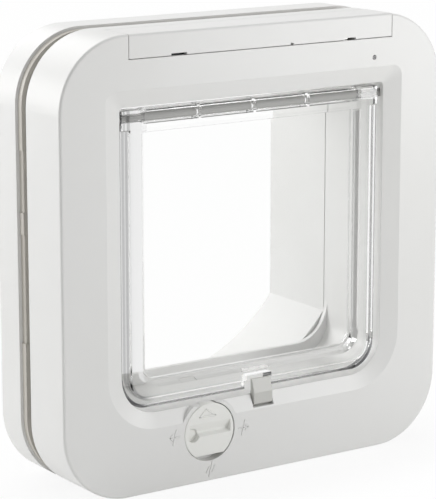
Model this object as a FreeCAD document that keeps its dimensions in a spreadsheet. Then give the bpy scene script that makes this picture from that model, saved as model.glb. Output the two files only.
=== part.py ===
import FreeCAD, Part
import math
import os
import Sketcher

# A pet door in two halves that clamp a door or wall panel between them. The row frame has +Y
# pointing outdoors, +X to the right seen from indoors and +Z up. The origin is the centre of the
# cut-out, on the indoor face of the panel. All sizes are in millimetres.

SIZES = [
    # outside form
    ("frame_half", 105, "half of the width and height of both frames"),
    ("corner_radius", 33.5, "outer corner radius of both frames"),
    ("housing_depth", 29, "indoor housing, front face to panel"),
    ("panel_gap", 9.5, "space for the door panel"),
    ("outer_depth", 18, "outdoor frame, panel to outer face"),
    ("tunnel_reach", 70, "panel face to the far end of the tunnel"),
    ("skin", 2.5, "wall of the moulded shells"),
    ("edge_round", 1.2, "rounding of the visible outer edges"),
    ("fit_gap", 0.2, "gap between shells that slip into each other"),
    # recess round the flap
    ("recess_half", 81.8, "half width of the bevel at the front face"),
    ("recess_top", 80.4, "bevel above the centre at the front face"),
    ("recess_low", 74.8, "bevel below the centre at the front face"),
    ("recess_round", 26, "bevel corner radius at the bottom"),
    ("recess_top_round", 5, "bevel corner radius at the top"),
    ("bevel_depth", 3, "depth of the bevel"),
    ("mouth_half", 73.0, "half width of the flap recess"),
    ("mouth_top", 72.6, "flap recess above the centre"),
    ("mouth_low", 67.9, "flap recess below the centre"),
    ("mouth_round", 18, "flap recess corner radius at the bottom"),
    ("mouth_top_round", 2, "flap recess corner radius at the top"),
    ("recess_depth", 5.2, "front face to the end of the flap recess"),
    ("bevel_overrun", 1, "how far the bevel's tool runs on into the flap recess"),
    # indoor tunnel
    ("back_plate", 3, "plate against the panel"),
    ("chamber_half", 76, "half width inside the indoor tunnel"),
    ("chamber_top", 72.2, "tunnel ceiling above the centre"),
    ("chamber_low", 68.4, "tunnel floor below the centre"),
    ("chamber_round", 15, "tunnel corner radius at the floor"),
    ("chamber_top_round", 2.5, "tunnel corner radius at the ceiling"),
    ("chamber_wall", 1.8, "tunnel wall"),
    ("chamber_reach", 23.5, "panel face to the end of the indoor tunnel"),
    ("sill_low", 62.8, "raised sill at the tunnel's end, below the centre"),
    ("sill_round", 19, "corner radius of the sill"),
    ("sill_thick", 2.5, "thickness of the sill"),
    # flap
    ("flap_half", 71.3, "half width of the flap"),
    ("flap_top", 71, "flap above the centre"),
    ("flap_low", 66, "flap below the centre"),
    ("flap_round", 13, "flap corner radius at the bottom"),
    ("flap_top_round", 1, "flap corner radius at the top"),
    ("flap_inset", 4, "front face to the flap's raised bead"),
    ("flap_thick", 7, "flap with its bead"),
    ("bead_height", 2, "raised bead on the flap's rim"),
    ("bead_inset", 4.5, "flap edge to the bead"),
    ("window_half", 58.4, "half width of the clear window"),
    ("window_top", 60, "window above the centre"),
    ("window_low", 54.5, "window below the centre"),
    ("window_round", 8, "window corner radius"),
    ("window_bevel", 2.4, "slope between the bead and the window"),
    ("window_depth", 3, "bead face to the window pane"),
    ("pane_thick", 2.5, "thickness of the window pane"),
    ("rail_drop", 9.5, "height of the hollow top rail"),
    ("rail_wall", 1.3, "wall of the hollow top rail"),
    ("rail_round", 1.2, "rounding along the top of the flap"),
    ("rib_pitch", 30, "spacing of the ribs in the top rail"),
    ("rib_thick", 1.6, "thickness of a rib"),
    ("hinge_height", 67, "hinge axis above the centre"),
    ("hinge_radius", 2, "radius of the hinge rod"),
    ("running_gap", 0.05, "radial clearance round shafts"),
    ("hinge_boss", 3.6, "radius of the hinge socket"),
    ("hinge_boss_length", 2.2, "hinge socket outside the tunnel wall"),
    ("notch_half", 7, "half width of the latch notch in the rim"),
    ("notch_height", 6.8, "height of the latch notch"),
    # latch and its drive
    ("latch_side", 3, "latch right of the centre"),
    ("latch_half", 5.2, "half width of the latch"),
    ("finger_back", 25.3, "back of the latch finger to the panel"),
    ("latch_top", 60.8, "latch top below the centre"),
    ("foot_room", 7, "latch foot to the lower edge of the frame"),
    ("latch_front", 28.3, "latch nose to the panel"),
    ("shank_front", 26.1, "front of the latch shank to the panel"),
    ("shank_back", 21.5, "back of the latch to the panel"),
    ("latch_travel", 5, "lift of the latch"),
    ("gear_module", 0.8, "module of rack and pinion"),
    ("pinion_teeth", 12, "teeth of the pinion"),
    ("pressure_angle", 25, "pressure angle of the teeth"),
    ("gear_backlash", 0.12, "play between the teeth"),
    ("gear_width", 3.4, "width of the teeth"),
    ("pitch_line", 8, "rack pitch line to the centre"),
    ("pinion_drop", 88, "pinion axis below the centre"),
    ("rack_teeth", 7, "teeth on the rack"),
    ("shaft_radius", 1, "motor shaft"),
    ("motor_radius", 8, "motor body"),
    ("motor_length", 16.8, "motor body"),
    # lock knob
    ("knob_side", 27.6, "knob axis left of the centre"),
    ("knob_drop", 81.2, "knob axis below the centre"),
    ("knob_radius", 13.6, "radius of the knob"),
    ("knob_gap", 0.35, "gap round the knob"),
    ("knob_collar", 2, "wall of the round seat"),
    ("knob_thick", 4.2, "thickness of the knob"),
    ("knob_chord", 11, "knob axis to the flat on its rim"),
    ("spindle_radius", 3.5, "radius of the knob spindle"),
    ("spindle_end", 12.3, "end of the spindle to the panel"),
    ("cam_thick", 5, "thickness of the cam"),
    ("cam_low", 5, "smallest radius of the cam"),
    ("cam_high", 10, "largest radius of the cam"),
    ("bolt_half", 4, "half width of the lock bolt"),
    ("bolt_thick", 5, "thickness of the lock bolt"),
    ("bolt_clear", 0.3, "gap between cam and bolt"),
    # battery bay
    ("lid_left_lap", 14.1, "battery lid beyond the bay on the left"),
    ("lid_right_lap", 19.8, "battery lid beyond the bay on the right"),
    ("lid_height", 10.8, "height of the battery lid on the front face"),
    ("lid_back", 9, "rear edge of the battery lid to the panel"),
    ("lid_gap", 0.3, "gap round the battery lid"),
    ("lid_notch", 0.9, "height of the finger notches"),
    ("cell_radius", 7.25, "battery cell"),
    ("cell_length", 49.2, "battery cell without its nib"),
    ("nib_length", 1.3, "nib of a battery cell"),
    ("nib_radius", 2.6, "nib of a battery cell"),
    ("spring_length", 3.6, "room for a contact spring"),
    ("high_row_drop", 10.2, "upper cells to the top of the frame"),
    ("high_row_y", 18.8, "upper cells to the panel"),
    ("low_row_rise", 7.6, "lower cells above the tunnel"),
    ("low_row_y", 12.3, "lower cells to the panel"),
    ("tray_wall", 1.2, "wall of the battery tray"),
    ("contact_thick", 0.4, "sheet of the battery contacts"),
    # electronics
    ("light_offset", 9.8, "status light beyond the battery bay"),
    ("light_height", 84.9, "status light above the centre"),
    ("light_radius", 1.1, "radius of the light pipe"),
    ("light_setback", 5.2, "front wall to the light board"),
    ("board_thick", 1.6, "circuit board"),
    ("board_left", 27, "control board, left edge"),
    ("board_right", 79, "control board, right edge"),
    ("board_low", 100, "control board, lower edge below the centre"),
    ("board_high", 77, "control board, upper edge below the centre"),
    ("board_rise", 5, "plate to the control board"),
    ("coil_depth", 3.2, "reader coil along the tunnel"),
    ("coil_build", 2.2, "reader coil across its windings"),
    ("button_radius", 3, "pairing button"),
    ("button_travel", 0.8, "travel of the pairing button"),
    # fasteners
    ("fixing_offset", 86, "panel screws from the centre, both ways"),
    ("fixing_radius", 2, "panel screw shank"),
    ("fixing_head", 4, "panel screw head radius"),
    ("fixing_grip", 16, "panel screw inside the indoor housing"),
    ("boss_radius", 5, "screw boss of the indoor housing"),
    ("outer_boss", 6.5, "screw boss of the outdoor frame"),
    ("cap_radius", 4.7, "cap over a panel screw"),
    ("cap_thick", 2.2, "cap over a panel screw"),
    ("cover_screw_side", 93, "cover screws from the centre, sideways"),
    ("cover_screw_rise", 30, "cover screws from the centre, upwards"),
    ("cover_screw_radius", 1.45, "cover screw shank"),
    ("cover_screw_length", 13, "cover screw with its head"),
    # outdoor frame
    ("socket_gap", 0.6, "indoor tunnel to the outdoor frame"),
    ("web", 2.5, "cross wall behind the indoor tunnel"),
    ("porch_low", 85.5, "outdoor tunnel floor below the centre"),
    ("porch_radius", 97, "radius of the outdoor tunnel floor"),
    ("porch_wall", 2.2, "wall of the outdoor tunnel"),
    ("stiffener_high", 52, "upper stiffener in the side channels"),
    ("stiffener_low", 36, "lower stiffener in the side channels"),
    ("lip_height", 3.7, "rim of the outdoor frame towards the panel"),
    ("lip_inset", 1.2, "outer edge of the frame to the rim"),
    ("lip_wall", 2, "thickness of the rim"),
    ("tab_middle", 19, "middle tab of the rim above the centre"),
    ("tab_half", 5, "half height of the middle tab"),
]


class Size:
    """A length that knows both its number and the sheet formula behind it."""

    def __init__(self, number, formula):
        self.number = number
        self.formula = formula

    def combine(self, other, sign, swap=False):
        other = as_size(other)
        left, right = (other, self) if swap else (self, other)
        number = {
            "+": lambda: left.number + right.number,
            "-": lambda: left.number - right.number,
            "*": lambda: left.number * right.number,
            "/": lambda: left.number / right.number,
        }[sign]()
        return Size(number, f"({left.formula} {sign} {right.formula})")

    def __add__(self, other):
        return self.combine(other, "+")

    def __radd__(self, other):
        return self.combine(other, "+", swap=True)

    def __sub__(self, other):
        return self.combine(other, "-")

    def __rsub__(self, other):
        return self.combine(other, "-", swap=True)

    def __mul__(self, other):
        return self.combine(other, "*")

    def __rmul__(self, other):
        return self.combine(other, "*", swap=True)

    def __truediv__(self, other):
        return self.combine(other, "/")

    def __neg__(self):
        return Size(-self.number, f"(-{self.formula})")

    def __float__(self):
        return float(self.number)


def as_size(value):
    if isinstance(value, Size):
        return value
    return Size(float(value), f"({float(value)})")


def bind(target, name, size):
    """Tie a property or a sketch constraint to the sheet."""
    target.setExpression(name, as_size(size).formula)


doc = FreeCAD.newDocument("PetDoor")
sheet = doc.addObject("Spreadsheet::Sheet", "Sizes")
at = {}
for row, (alias, number, note) in enumerate(SIZES, start=1):
    sheet.set(f"A{row}", note)
    sheet.set(f"B{row}", str(number))
    sheet.setAlias(f"B{row}", alias)
    at[alias] = Size(float(number), f"Sizes.{alias}")
doc.recompute()

WAYS = {
    "x": FreeCAD.Rotation(FreeCAD.Vector(0, 1, 0), 90),
    "y": FreeCAD.Rotation(FreeCAD.Vector(1, 0, 0), -90),
    "z": FreeCAD.Rotation(),
}
nodes = {}


def place(solid, x, y, z, way="z"):
    solid.Placement = FreeCAD.Placement(FreeCAD.Vector(), WAYS[way])
    for letter, size in zip("xyz", (x, y, z)):
        bind(solid, f"Placement.Base.{letter}", size)
    return solid


def box(name, x, y, z):
    """A block between two corners, each span given as a pair of sizes."""
    solid = doc.addObject("Part::Box", name)
    for side, span in zip(("Length", "Width", "Height"), (x, y, z)):
        bind(solid, side, as_size(span[1]) - span[0])
    return place(solid, x[0], y[0], z[0])


def rod(name, way, radius, x, y, z, length):
    """A round bar along one axis that starts at x, y, z."""
    solid = doc.addObject("Part::Cylinder", name)
    bind(solid, "Radius", radius)
    bind(solid, "Height", length)
    return place(solid, x, y, z, way)


def ball(name, radius, x, y, z):
    solid = doc.addObject("Part::Sphere", name)
    bind(solid, "Radius", radius)
    return place(solid, x, y, z)


def fuse(name, *parts):
    union = doc.addObject("Part::MultiFuse", name)
    union.Shapes = list(parts)
    return union


def group(name, *parts):
    """Separate solids that share one node."""
    together = doc.addObject("Part::Compound", name)
    together.Links = list(parts)
    return together


def cut(name, base, *tools):
    result = doc.addObject("Part::Cut", name)
    result.Base = base
    result.Tool = tools[0] if len(tools) == 1 else fuse(f"{name}_tools", *tools)
    return result


def node(name, solid):
    """Give a finished piece its node name."""
    solid.Label = name
    nodes[name] = solid
    return solid


def pin(sketch, name, geometry, vertex, size, direction):
    """Hold one coordinate of a sketch point at a signed size from the sketch's origin."""
    size = as_size(size)
    kind = f"Distance{direction}"
    if size.number < 0:
        number = sketch.addConstraint(Sketcher.Constraint(kind, geometry, vertex, -1, 1, -size.number))
        size = -size
    else:
        number = sketch.addConstraint(Sketcher.Constraint(kind, -1, 1, geometry, vertex, size.number))
    sketch.renameConstraint(number, name)
    bind(sketch, f"Constraints.{name}", size)


def rounded_outline(sketch, left, right, low, high, low_round, high_round):
    """A rectangle with one radius at its two lower corners and one at its two upper corners."""
    x0, x1, z0, z1 = (float(size) for size in (left, right, low, high))
    r0, r1 = float(low_round), float(high_round)
    spot = FreeCAD.Vector
    corners = [(x1 - r0, z0 + r0, r0, 270), (x1 - r1, z1 - r1, r1, 0),
               (x0 + r1, z1 - r1, r1, 90), (x0 + r0, z0 + r0, r0, 180)]
    sides = [(spot(x0 + r0, z0), spot(x1 - r0, z0)), (spot(x1, z0 + r0), spot(x1, z1 - r1)),
             (spot(x1 - r1, z1), spot(x0 + r1, z1)), (spot(x0, z1 - r1), spot(x0, z0 + r0))]
    lines, arcs = [], []
    for (start, end), (cx, cz, radius, turn) in zip(sides, corners):
        lines.append(sketch.addGeometry(Part.LineSegment(start, end)))
        circle = Part.Circle(spot(cx, cz), spot(0, 0, 1), radius)
        arc = Part.ArcOfCircle(circle, math.radians(turn), math.radians(turn + 90))
        arcs.append(sketch.addGeometry(arc))
    for index in range(4):
        after = lines[(index + 1) % 4]
        sketch.addConstraint(Sketcher.Constraint("Tangent", lines[index], 2, arcs[index], 1))
        sketch.addConstraint(Sketcher.Constraint("Tangent", arcs[index], 2, after, 1))
    for index, kind in enumerate(("Horizontal", "Vertical", "Horizontal", "Vertical")):
        sketch.addConstraint(Sketcher.Constraint(kind, lines[index]))
    for index, (name, radius) in enumerate((("low_right", low_round), ("high_right", high_round),
                                            ("high_left", high_round), ("low_left", low_round))):
        number = sketch.addConstraint(Sketcher.Constraint("Radius", arcs[index], float(radius)))
        sketch.renameConstraint(number, name)
        bind(sketch, f"Constraints.{name}", radius)
    pin(sketch, "low", lines[0], 1, low, "Y")
    pin(sketch, "right", lines[1], 1, right, "X")
    pin(sketch, "high", lines[2], 1, high, "Y")
    pin(sketch, "left", lines[3], 1, left, "X")


def round_outline(sketch, x, z, radius):
    circle = Part.Circle(FreeCAD.Vector(float(x), float(z)), FreeCAD.Vector(0, 0, 1), float(radius))
    index = sketch.addGeometry(circle)
    number = sketch.addConstraint(Sketcher.Constraint("Radius", index, float(radius)))
    sketch.renameConstraint(number, "radius")
    bind(sketch, "Constraints.radius", radius)
    pin(sketch, "across", index, 3, x, "X")
    pin(sketch, "up", index, 3, z, "Y")


def straight_outline(sketch, points):
    """A closed outline of straight lines through points given as pairs of sizes."""
    spots = [FreeCAD.Vector(float(first), float(second)) for first, second in points]
    count = len(spots)
    lines = [sketch.addGeometry(Part.LineSegment(spots[i], spots[(i + 1) % count])) for i in range(count)]
    for i in range(count):
        sketch.addConstraint(Sketcher.Constraint("Coincident", lines[i], 2, lines[(i + 1) % count], 1))
    for i, (first, second) in enumerate(points):
        pin(sketch, f"across_{i}", lines[i], 1, first, "X")
        pin(sketch, f"up_{i}", lines[i], 1, second, "Y")


class Moulding:
    """A body whose outlines face the room: each is drawn across the tunnel at a given depth."""

    def __init__(self, name):
        self.body = doc.addObject("PartDesign::Body", f"{name}_body")
        self.count = 0

    def sketch(self, offset, role="XZ_Plane"):
        self.count += 1
        drawing = self.body.newObject("Sketcher::SketchObject", f"{self.body.Name}_outline_{self.count}")
        plane = [feature for feature in self.body.Origin.OriginFeatures if feature.Role == role][0]
        drawing.AttachmentSupport = [(plane, "")]
        drawing.MapMode = "FlatFace"
        bind(drawing, "AttachmentOffset.Base.z", -as_size(offset) if role == "XZ_Plane" else offset)
        return drawing

    def feature(self, kind, drawing):
        self.count += 1
        made = self.body.newObject(f"PartDesign::{kind}", f"{self.body.Name}_{kind.lower()}_{self.count}")
        made.Profile = drawing
        drawing.Visibility = False
        return made

    def pad(self, drawing, length, outdoors=True):
        made = self.feature("Pad", drawing)
        made.Reversed = outdoors
        bind(made, "Length", length)
        return made

    def pocket(self, drawing, length, outdoors=True):
        made = self.feature("Pocket", drawing)
        made.Reversed = not outdoors
        bind(made, "Length", length)
        return made

    def loft(self, kind, first, second):
        made = self.feature(kind, first)
        made.Sections = [(second, [""])]
        made.Ruled = True
        second.Visibility = False
        return made

    def prism(self, kind, offset, length, *outline, shape=rounded_outline):
        """Pad or pocket one outline from a given depth towards the outdoors."""
        drawing = self.sketch(offset)
        shape(drawing, *outline)
        return self.pad(drawing, length) if kind == "pad" else self.pocket(drawing, length)

    def clear(self, x, y, z):
        """Pocket a block between two corners, each span given as a pair of sizes."""
        drawing = self.sketch(y[0])
        straight_outline(drawing, [(x[0], z[0]), (x[1], z[0]), (x[1], z[1]), (x[0], z[1])])
        return self.pocket(drawing, as_size(y[1]) - y[0])

    def round_edges(self, radius, wanted):
        """Round the edges of the newest feature that a test on each edge picks."""
        doc.recompute()
        newest = self.body.Tip
        names = [f"Edge{i + 1}" for i, edge in enumerate(newest.Shape.Edges) if wanted(edge)]
        made = self.body.newObject("PartDesign::Fillet", f"{self.body.Name}_rounding")
        made.Base = (newest, names)
        bind(made, "Radius", radius)
        return made


def at_depth(depth):
    """Picks the edges that lie wholly at one depth."""
    return lambda edge: all(abs(v.Point.y - float(depth)) < 0.01 for v in edge.Vertexes)


front = -at["housing_depth"]
frame_half = at["frame_half"]
skin = at["skin"]
flap_front = front + at["flap_inset"]
hinge_y = flap_front + at["flap_thick"] / 2
hinge_z = at["hinge_height"]
knob_x = -at["knob_side"]
knob_z = -at["knob_drop"]
outer_face = at["panel_gap"] + at["outer_depth"]
bay_end = (at["tray_wall"] / 2 + at["contact_thick"] * 2 + at["nib_length"] + at["cell_length"]
           + at["spring_length"])
lid_left = bay_end + at["lid_left_lap"]
lid_right = bay_end + at["lid_right_lap"]
lid_low = frame_half - at["lid_height"]
high_row_z = frame_half - at["high_row_drop"]
low_row_z = at["chamber_top"] + at["chamber_wall"] + at["low_row_rise"]
light_side = bay_end + at["light_offset"]
latch_x = at["latch_side"]
latch_foot = -(frame_half - at["foot_room"])
pinion_x = latch_x + at["pitch_line"] + at["gear_module"] * at["pinion_teeth"] / 2


def frame_outline(inset):
    """The outline of both frames, drawn in by a wall or a gap."""
    edge = frame_half - inset
    corner = at["corner_radius"] - inset
    return -edge, edge, -edge, edge, corner, corner


def mouth_outline(grow=0.0):
    half = at["mouth_half"] + grow
    return (-half, half, -(at["mouth_low"] + grow), at["mouth_top"] + grow,
            at["mouth_round"] + grow, at["mouth_top_round"] + grow)


def recess_outline(grow=0.0):
    half = at["recess_half"] + grow
    return (-half, half, -(at["recess_low"] + grow), at["recess_top"] + grow,
            at["recess_round"] + grow, at["recess_top_round"] + grow)


def chamber_outline(grow=0.0):
    half = at["chamber_half"] + grow
    return (-half, half, -(at["chamber_low"] + grow), at["chamber_top"] + grow,
            at["chamber_round"] + grow, at["chamber_top_round"] + grow)


def sill_outline():
    half = at["chamber_half"]
    return -half, half, -at["sill_low"], at["chamber_top"], at["sill_round"], at["chamber_top_round"]


def fixing_places():
    """The four panel screws."""
    offset = at["fixing_offset"]
    return [(offset, offset), (-offset, offset), (-offset, -offset), (offset, -offset)]


def board_places():
    """The posts under the control board."""
    left, right = at["board_left"] + 4, at["board_right"] - 4
    low, high = at["board_low"] - 3, at["board_high"] + 3
    return [(left, -low), (right, -low), (left, -high), (right, -high)]


def cover_screw_places():
    side, rise = at["cover_screw_side"], at["cover_screw_rise"]
    return [(side, rise), (-side, rise), (-side, -rise), (side, -rise)]


# Front cover: the large shell that faces the room. A shallow bevel runs round the flap, a straight
# wall goes in behind it, and a round collar for the lock knob rises out of the bevel.
def make_front_cover():
    cover = Moulding("front_cover")
    cover.prism("pad", front, at["housing_depth"], *frame_outline(0.0))
    cover.round_edges(at["edge_round"], at_depth(front))
    cover.prism("pocket", front + skin, at["housing_depth"], *frame_outline(skin))
    root = front + skin / 2
    bevel_first = cover.sketch(root)
    rounded_outline(bevel_first, *recess_outline(skin))
    bevel_last = cover.sketch(front + at["recess_depth"] - 0.5)
    rounded_outline(bevel_last, *mouth_outline(skin - 0.4))
    cover.loft("AdditiveLoft", bevel_first, bevel_last)
    cover.prism("pad", root, at["recess_depth"] - skin / 2, *mouth_outline(skin))
    cut_first = cover.sketch(front)
    rounded_outline(cut_first, *recess_outline())
    overrun = at["bevel_overrun"]
    run = at["bevel_depth"] * overrun / (at["recess_half"] - at["mouth_half"])
    cut_last = cover.sketch(front + at["bevel_depth"] + run)
    rounded_outline(cut_last, *mouth_outline(-overrun))
    cover.loft("SubtractiveLoft", cut_first, cut_last)
    seat_radius = at["knob_radius"] + at["knob_gap"]
    cover.prism("pad", front, at["knob_thick"] + skin + 1.5, knob_x, knob_z,
                seat_radius + at["knob_collar"], shape=round_outline)
    cover.prism("pocket", front, at["housing_depth"], *mouth_outline())
    cover.prism("pocket", front, at["knob_thick"] + 0.3, knob_x, knob_z, seat_radius, shape=round_outline)
    cover.prism("pocket", front, at["housing_depth"], knob_x, knob_z,
                at["spindle_radius"] + at["running_gap"], shape=round_outline)
    cover.prism("pocket", front, at["housing_depth"], light_side, at["light_height"],
                at["light_radius"] + at["running_gap"], shape=round_outline)
    for x, z in cover_screw_places():
        cover.prism("pad", front + skin / 2, at["housing_depth"] - skin / 2 - at["back_plate"] - at["fit_gap"],
                    x, z, at["cover_screw_radius"] + 2.2, shape=round_outline)
        drawing = cover.sketch(-at["back_plate"])
        round_outline(drawing, x, z, at["cover_screw_radius"] + at["running_gap"])
        cover.pocket(drawing, at["cover_screw_length"], outdoors=False)
    gap = at["lid_gap"]
    cover.clear((-lid_left - gap, lid_right + gap), (front - 1, -at["lid_back"] + gap), (lid_low - gap, frame_half + 1))
    slot = at["latch_half"] + 0.6
    span = (latch_x - slot, latch_x + slot)
    cover.clear(span, (-at["latch_front"] - 0.4, -at["shank_front"]), (-at["recess_low"] + 0.8, -at["latch_top"]))
    cover.clear(span, (-at["shank_front"] - 0.4, -at["shank_back"] + 0.4),
                (-at["recess_low"] - skin, -at["latch_top"]))
    cover.clear((knob_x - 20, knob_x + 20), (front + at["recess_depth"], front + 14),
                (-at["chamber_low"] - at["chamber_wall"] - 0.5, -at["latch_top"]))
    for side in (-1, 1):
        span = (at["chamber_half"] - 0.4, at["recess_half"])
        span = span if side > 0 else (-span[1], -span[0])
        cover.clear(span, (hinge_y - at["hinge_boss"] - 0.3, hinge_y),
                    (hinge_z - at["hinge_boss"] - 0.3, hinge_z + at["hinge_boss"] + 0.3))
    for x in (-4.6, 6):
        cover.prism("pad", front + skin * 0.4, skin * 0.6 + at["light_setback"], light_side + x,
                    at["light_height"] - 1.3, 1.5, shape=round_outline)
    node("front_cover", cover.body)


# Rear housing: the plate against the panel with the indoor tunnel, the raised sill at the tunnel's
# end, the hinge sockets, the screw bosses and the seats of latch, motor, bolt and boards.
def make_rear_housing():
    rear = Moulding("rear_housing")
    rear.prism("pad", -at["back_plate"], at["back_plate"], *frame_outline(skin + at["fit_gap"]))
    tunnel_front = front + at["recess_depth"] + 0.3
    tunnel_length = at["chamber_reach"] - tunnel_front
    rear.prism("pad", tunnel_front, tunnel_length, *chamber_outline(at["chamber_wall"]))
    for x, z in fixing_places():
        rear.prism("pad", -at["fixing_grip"] - 2, at["fixing_grip"] + 1, x, z, at["boss_radius"],
                   shape=round_outline)
    rear.prism("pocket", tunnel_front, tunnel_length - at["sill_thick"], *chamber_outline())
    rear.prism("pocket", tunnel_front, tunnel_length, *sill_outline())
    for x, z in fixing_places():
        rear.prism("pocket", -at["fixing_grip"], at["fixing_grip"], x, z,
                   at["fixing_radius"] + at["running_gap"], shape=round_outline)
    for x, z in cover_screw_places():
        rear.prism("pocket", -at["back_plate"], at["back_plate"], x, z,
                   at["cover_screw_radius"] + at["running_gap"], shape=round_outline)
        rear.prism("pocket", -at["back_plate"] + 1.2, at["back_plate"], x, z,
                   at["cover_screw_radius"] * 2 + 0.1, shape=round_outline)
    wall_outside = at["chamber_half"] + at["chamber_wall"]
    adds, holes = [], []
    for side in (-1, 1):
        boss_start = wall_outside - 0.5 if side > 0 else -(wall_outside + at["hinge_boss_length"])
        adds.append(rod(f"hinge_boss_{side + 1}", "x", at["hinge_boss"], boss_start, hinge_y, hinge_z,
                        at["hinge_boss_length"] + 0.5))
        ear = (wall_outside - at["chamber_wall"], wall_outside)
        ear = ear if side > 0 else (-ear[1], -ear[0])
        adds.append(box(f"hinge_ear_{side + 1}", ear, (hinge_y - at["hinge_boss"], tunnel_front + 1),
                        (hinge_z - at["hinge_boss"], hinge_z + at["hinge_boss"])))
    adds.append(box("latch_back_guide", (latch_x - at["latch_half"] - 2.5, latch_x + at["latch_half"] - 3.5),
                    (-at["shank_back"] + 0.3, -at["back_plate"] + 1), (latch_foot, latch_foot + 20)))
    adds.append(box("latch_side_guide", (latch_x - at["latch_half"] - 2.5, latch_x - at["latch_half"] - 0.3),
                    (-at["shank_front"], -at["back_plate"] + 1), (latch_foot, latch_foot + 20)))
    adds.append(rod("motor_cradle", "y", at["motor_radius"] + 1.7, pinion_x, -at["motor_length"], -at["pinion_drop"],
                    at["motor_length"] - at["back_plate"] + 1))
    holes.append(rod("motor_hole", "y", at["motor_radius"] + at["running_gap"], pinion_x,
                     -at["motor_length"] - at["back_plate"] - 1, -at["pinion_drop"], at["motor_length"] + 1))
    bolt_front = -at["cam_thick"] - at["spindle_end"]
    floor_under = -at["chamber_low"] - at["chamber_wall"]
    for name, spot in (("near", bolt_front - 1.9), ("far", bolt_front + at["bolt_thick"] + 0.3)):
        adds.append(box(f"bolt_guide_{name}", (knob_x - 6, knob_x + 6), (spot, spot + 1.5),
                        (floor_under - 6, floor_under + 1)))
    holes.append(box("bolt_slot", (knob_x - at["bolt_half"] - 0.3, knob_x + at["bolt_half"] + 0.3),
                     (bolt_front - 0.35, bolt_front + at["bolt_thick"] + 0.25), (floor_under - 1, floor_under + 5)))
    for index, (x, z) in enumerate(board_places()):
        adds.append(rod(f"board_post_{index}", "y", as_size(2.2), x, -at["back_plate"] - at["board_rise"], z,
                        at["board_rise"] + 1))
    for side in (-1, 1):
        start = -wall_outside - 1.2 if side < 0 else at["chamber_half"] - 0.2
        holes.append(rod(f"hinge_hole_{side + 1}", "x", at["hinge_radius"] + at["running_gap"],
                         start, hinge_y, hinge_z, at["chamber_wall"] + 1.4))
    whole = fuse("rear_housing_whole", rear.body, *adds)
    node("rear_housing", cut("rear_housing_cut", whole, *holes))


# Flap: one clear moulding. A raised bead runs round the window, a hollow top rail with ribs carries
# the hinge rod, and a notch in the bottom of the rim takes the latch.
def make_flap():
    flap = Moulding("flap")
    half, top, low = at["flap_half"], at["flap_top"], at["flap_low"]
    sheet_front = flap_front + at["bead_height"]
    flap.prism("pad", sheet_front, at["flap_thick"] - at["bead_height"],
               -half, half, -low, top, at["flap_round"], at["flap_top_round"])
    inset = at["bead_inset"]
    bead_top = top - at["rail_drop"] + 1
    flap.prism("pad", flap_front, at["bead_height"] + 1, -(half - inset), half - inset, -(low - inset),
               bead_top, at["flap_round"] - inset, 1.0)
    flap.prism("pad", flap_front, at["bead_height"] + 1, -half, half, top - at["rail_drop"], top,
               0.8, at["flap_top_round"])
    flap.round_edges(at["rail_round"], lambda edge: edge.Length > 100 and all(
        abs(v.Point.z - float(top)) < 0.01 for v in edge.Vertexes))
    wide = at["window_bevel"]
    window = at["window_half"]
    window_first = flap.sketch(flap_front)
    rounded_outline(window_first, -(window + wide), window + wide, -(at["window_low"] + wide),
                    at["window_top"] + 0.8, at["window_round"] + wide, 1.0)
    window_last = flap.sketch(flap_front + at["window_depth"])
    rounded_outline(window_last, -window, window, -at["window_low"], at["window_top"],
                    at["window_round"], 0.8)
    flap.loft("SubtractiveLoft", window_first, window_last)
    pane_back = flap_front + at["window_depth"] + at["pane_thick"]
    flap.prism("pocket", pane_back, at["flap_thick"], -window, window, -at["window_low"],
               at["window_top"], at["window_round"], 0.8)
    wall, rib = at["rail_wall"], at["rib_thick"] / 2
    cuts = []
    edges = [at["rib_pitch"] * step for step in (-2, -1, 0, 1, 2)]
    for index in range(len(edges) - 1):
        left = edges[index] + rib
        right = edges[index + 1] - rib
        cuts.append(box(f"rail_pocket_{index}", (left, right), (flap_front - 1, hinge_y + at["hinge_radius"] + 0.3),
                        (hinge_z - at["hinge_radius"] - 0.6, top - wall)))
    cuts.append(rod("rail_bore", "x", at["hinge_radius"] + at["running_gap"], -half - 1, hinge_y, hinge_z,
                    half * 2 + 2))
    notch = at["notch_half"]
    cuts.append(box("latch_notch", (latch_x - notch, latch_x + notch), (flap_front - 1, flap_front + at["flap_thick"] + 1),
                    (-low - 1, -low + at["notch_height"])))
    node("flap", cut("flap_cut", flap.body, *cuts))


def make_hinge_rod():
    reach = at["chamber_half"] + at["chamber_wall"] + 0.9
    node("hinge_rod", rod("hinge_rod_bar", "x", at["hinge_radius"], -reach, hinge_y, hinge_z, reach * 2))


# Latch: the catch with its sloping nose at the bottom of the flap, and the rack on its shank.
def make_latch():
    half = at["latch_half"]
    top, foot = -at["latch_top"], latch_foot
    nose = -at["latch_front"]
    back = -at["shank_back"]
    finger = -at["finger_back"]
    profile = [
        (back, foot),
        (back, top - 20),
        (finger, top - 16),
        (finger, top),
        (finger - 1, top),
        (nose, top - 6.4),
        (nose, top - 11.6),
        (-at["shank_front"], top - 13.1),
        (-at["shank_front"], foot),
    ]
    latch = Moulding("latch")
    drawing = latch.sketch(latch_x - half, role="YZ_Plane")
    straight_outline(drawing, profile)
    latch.pad(drawing, half * 2, outdoors=False)
    rack = make_rack()
    node("latch", fuse("latch_whole", latch.body, rack))


def rack_flank():
    """Half widths of a rack tooth at its tip and root, and the heights of both."""
    module = float(at["gear_module"])
    slope = math.tan(math.radians(float(at["pressure_angle"])))
    pitch_half = math.pi * module / 4 - float(at["gear_backlash"]) / 2
    return pitch_half - module * slope, pitch_half + 1.2 * module * slope, module, 1.2 * module


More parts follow.
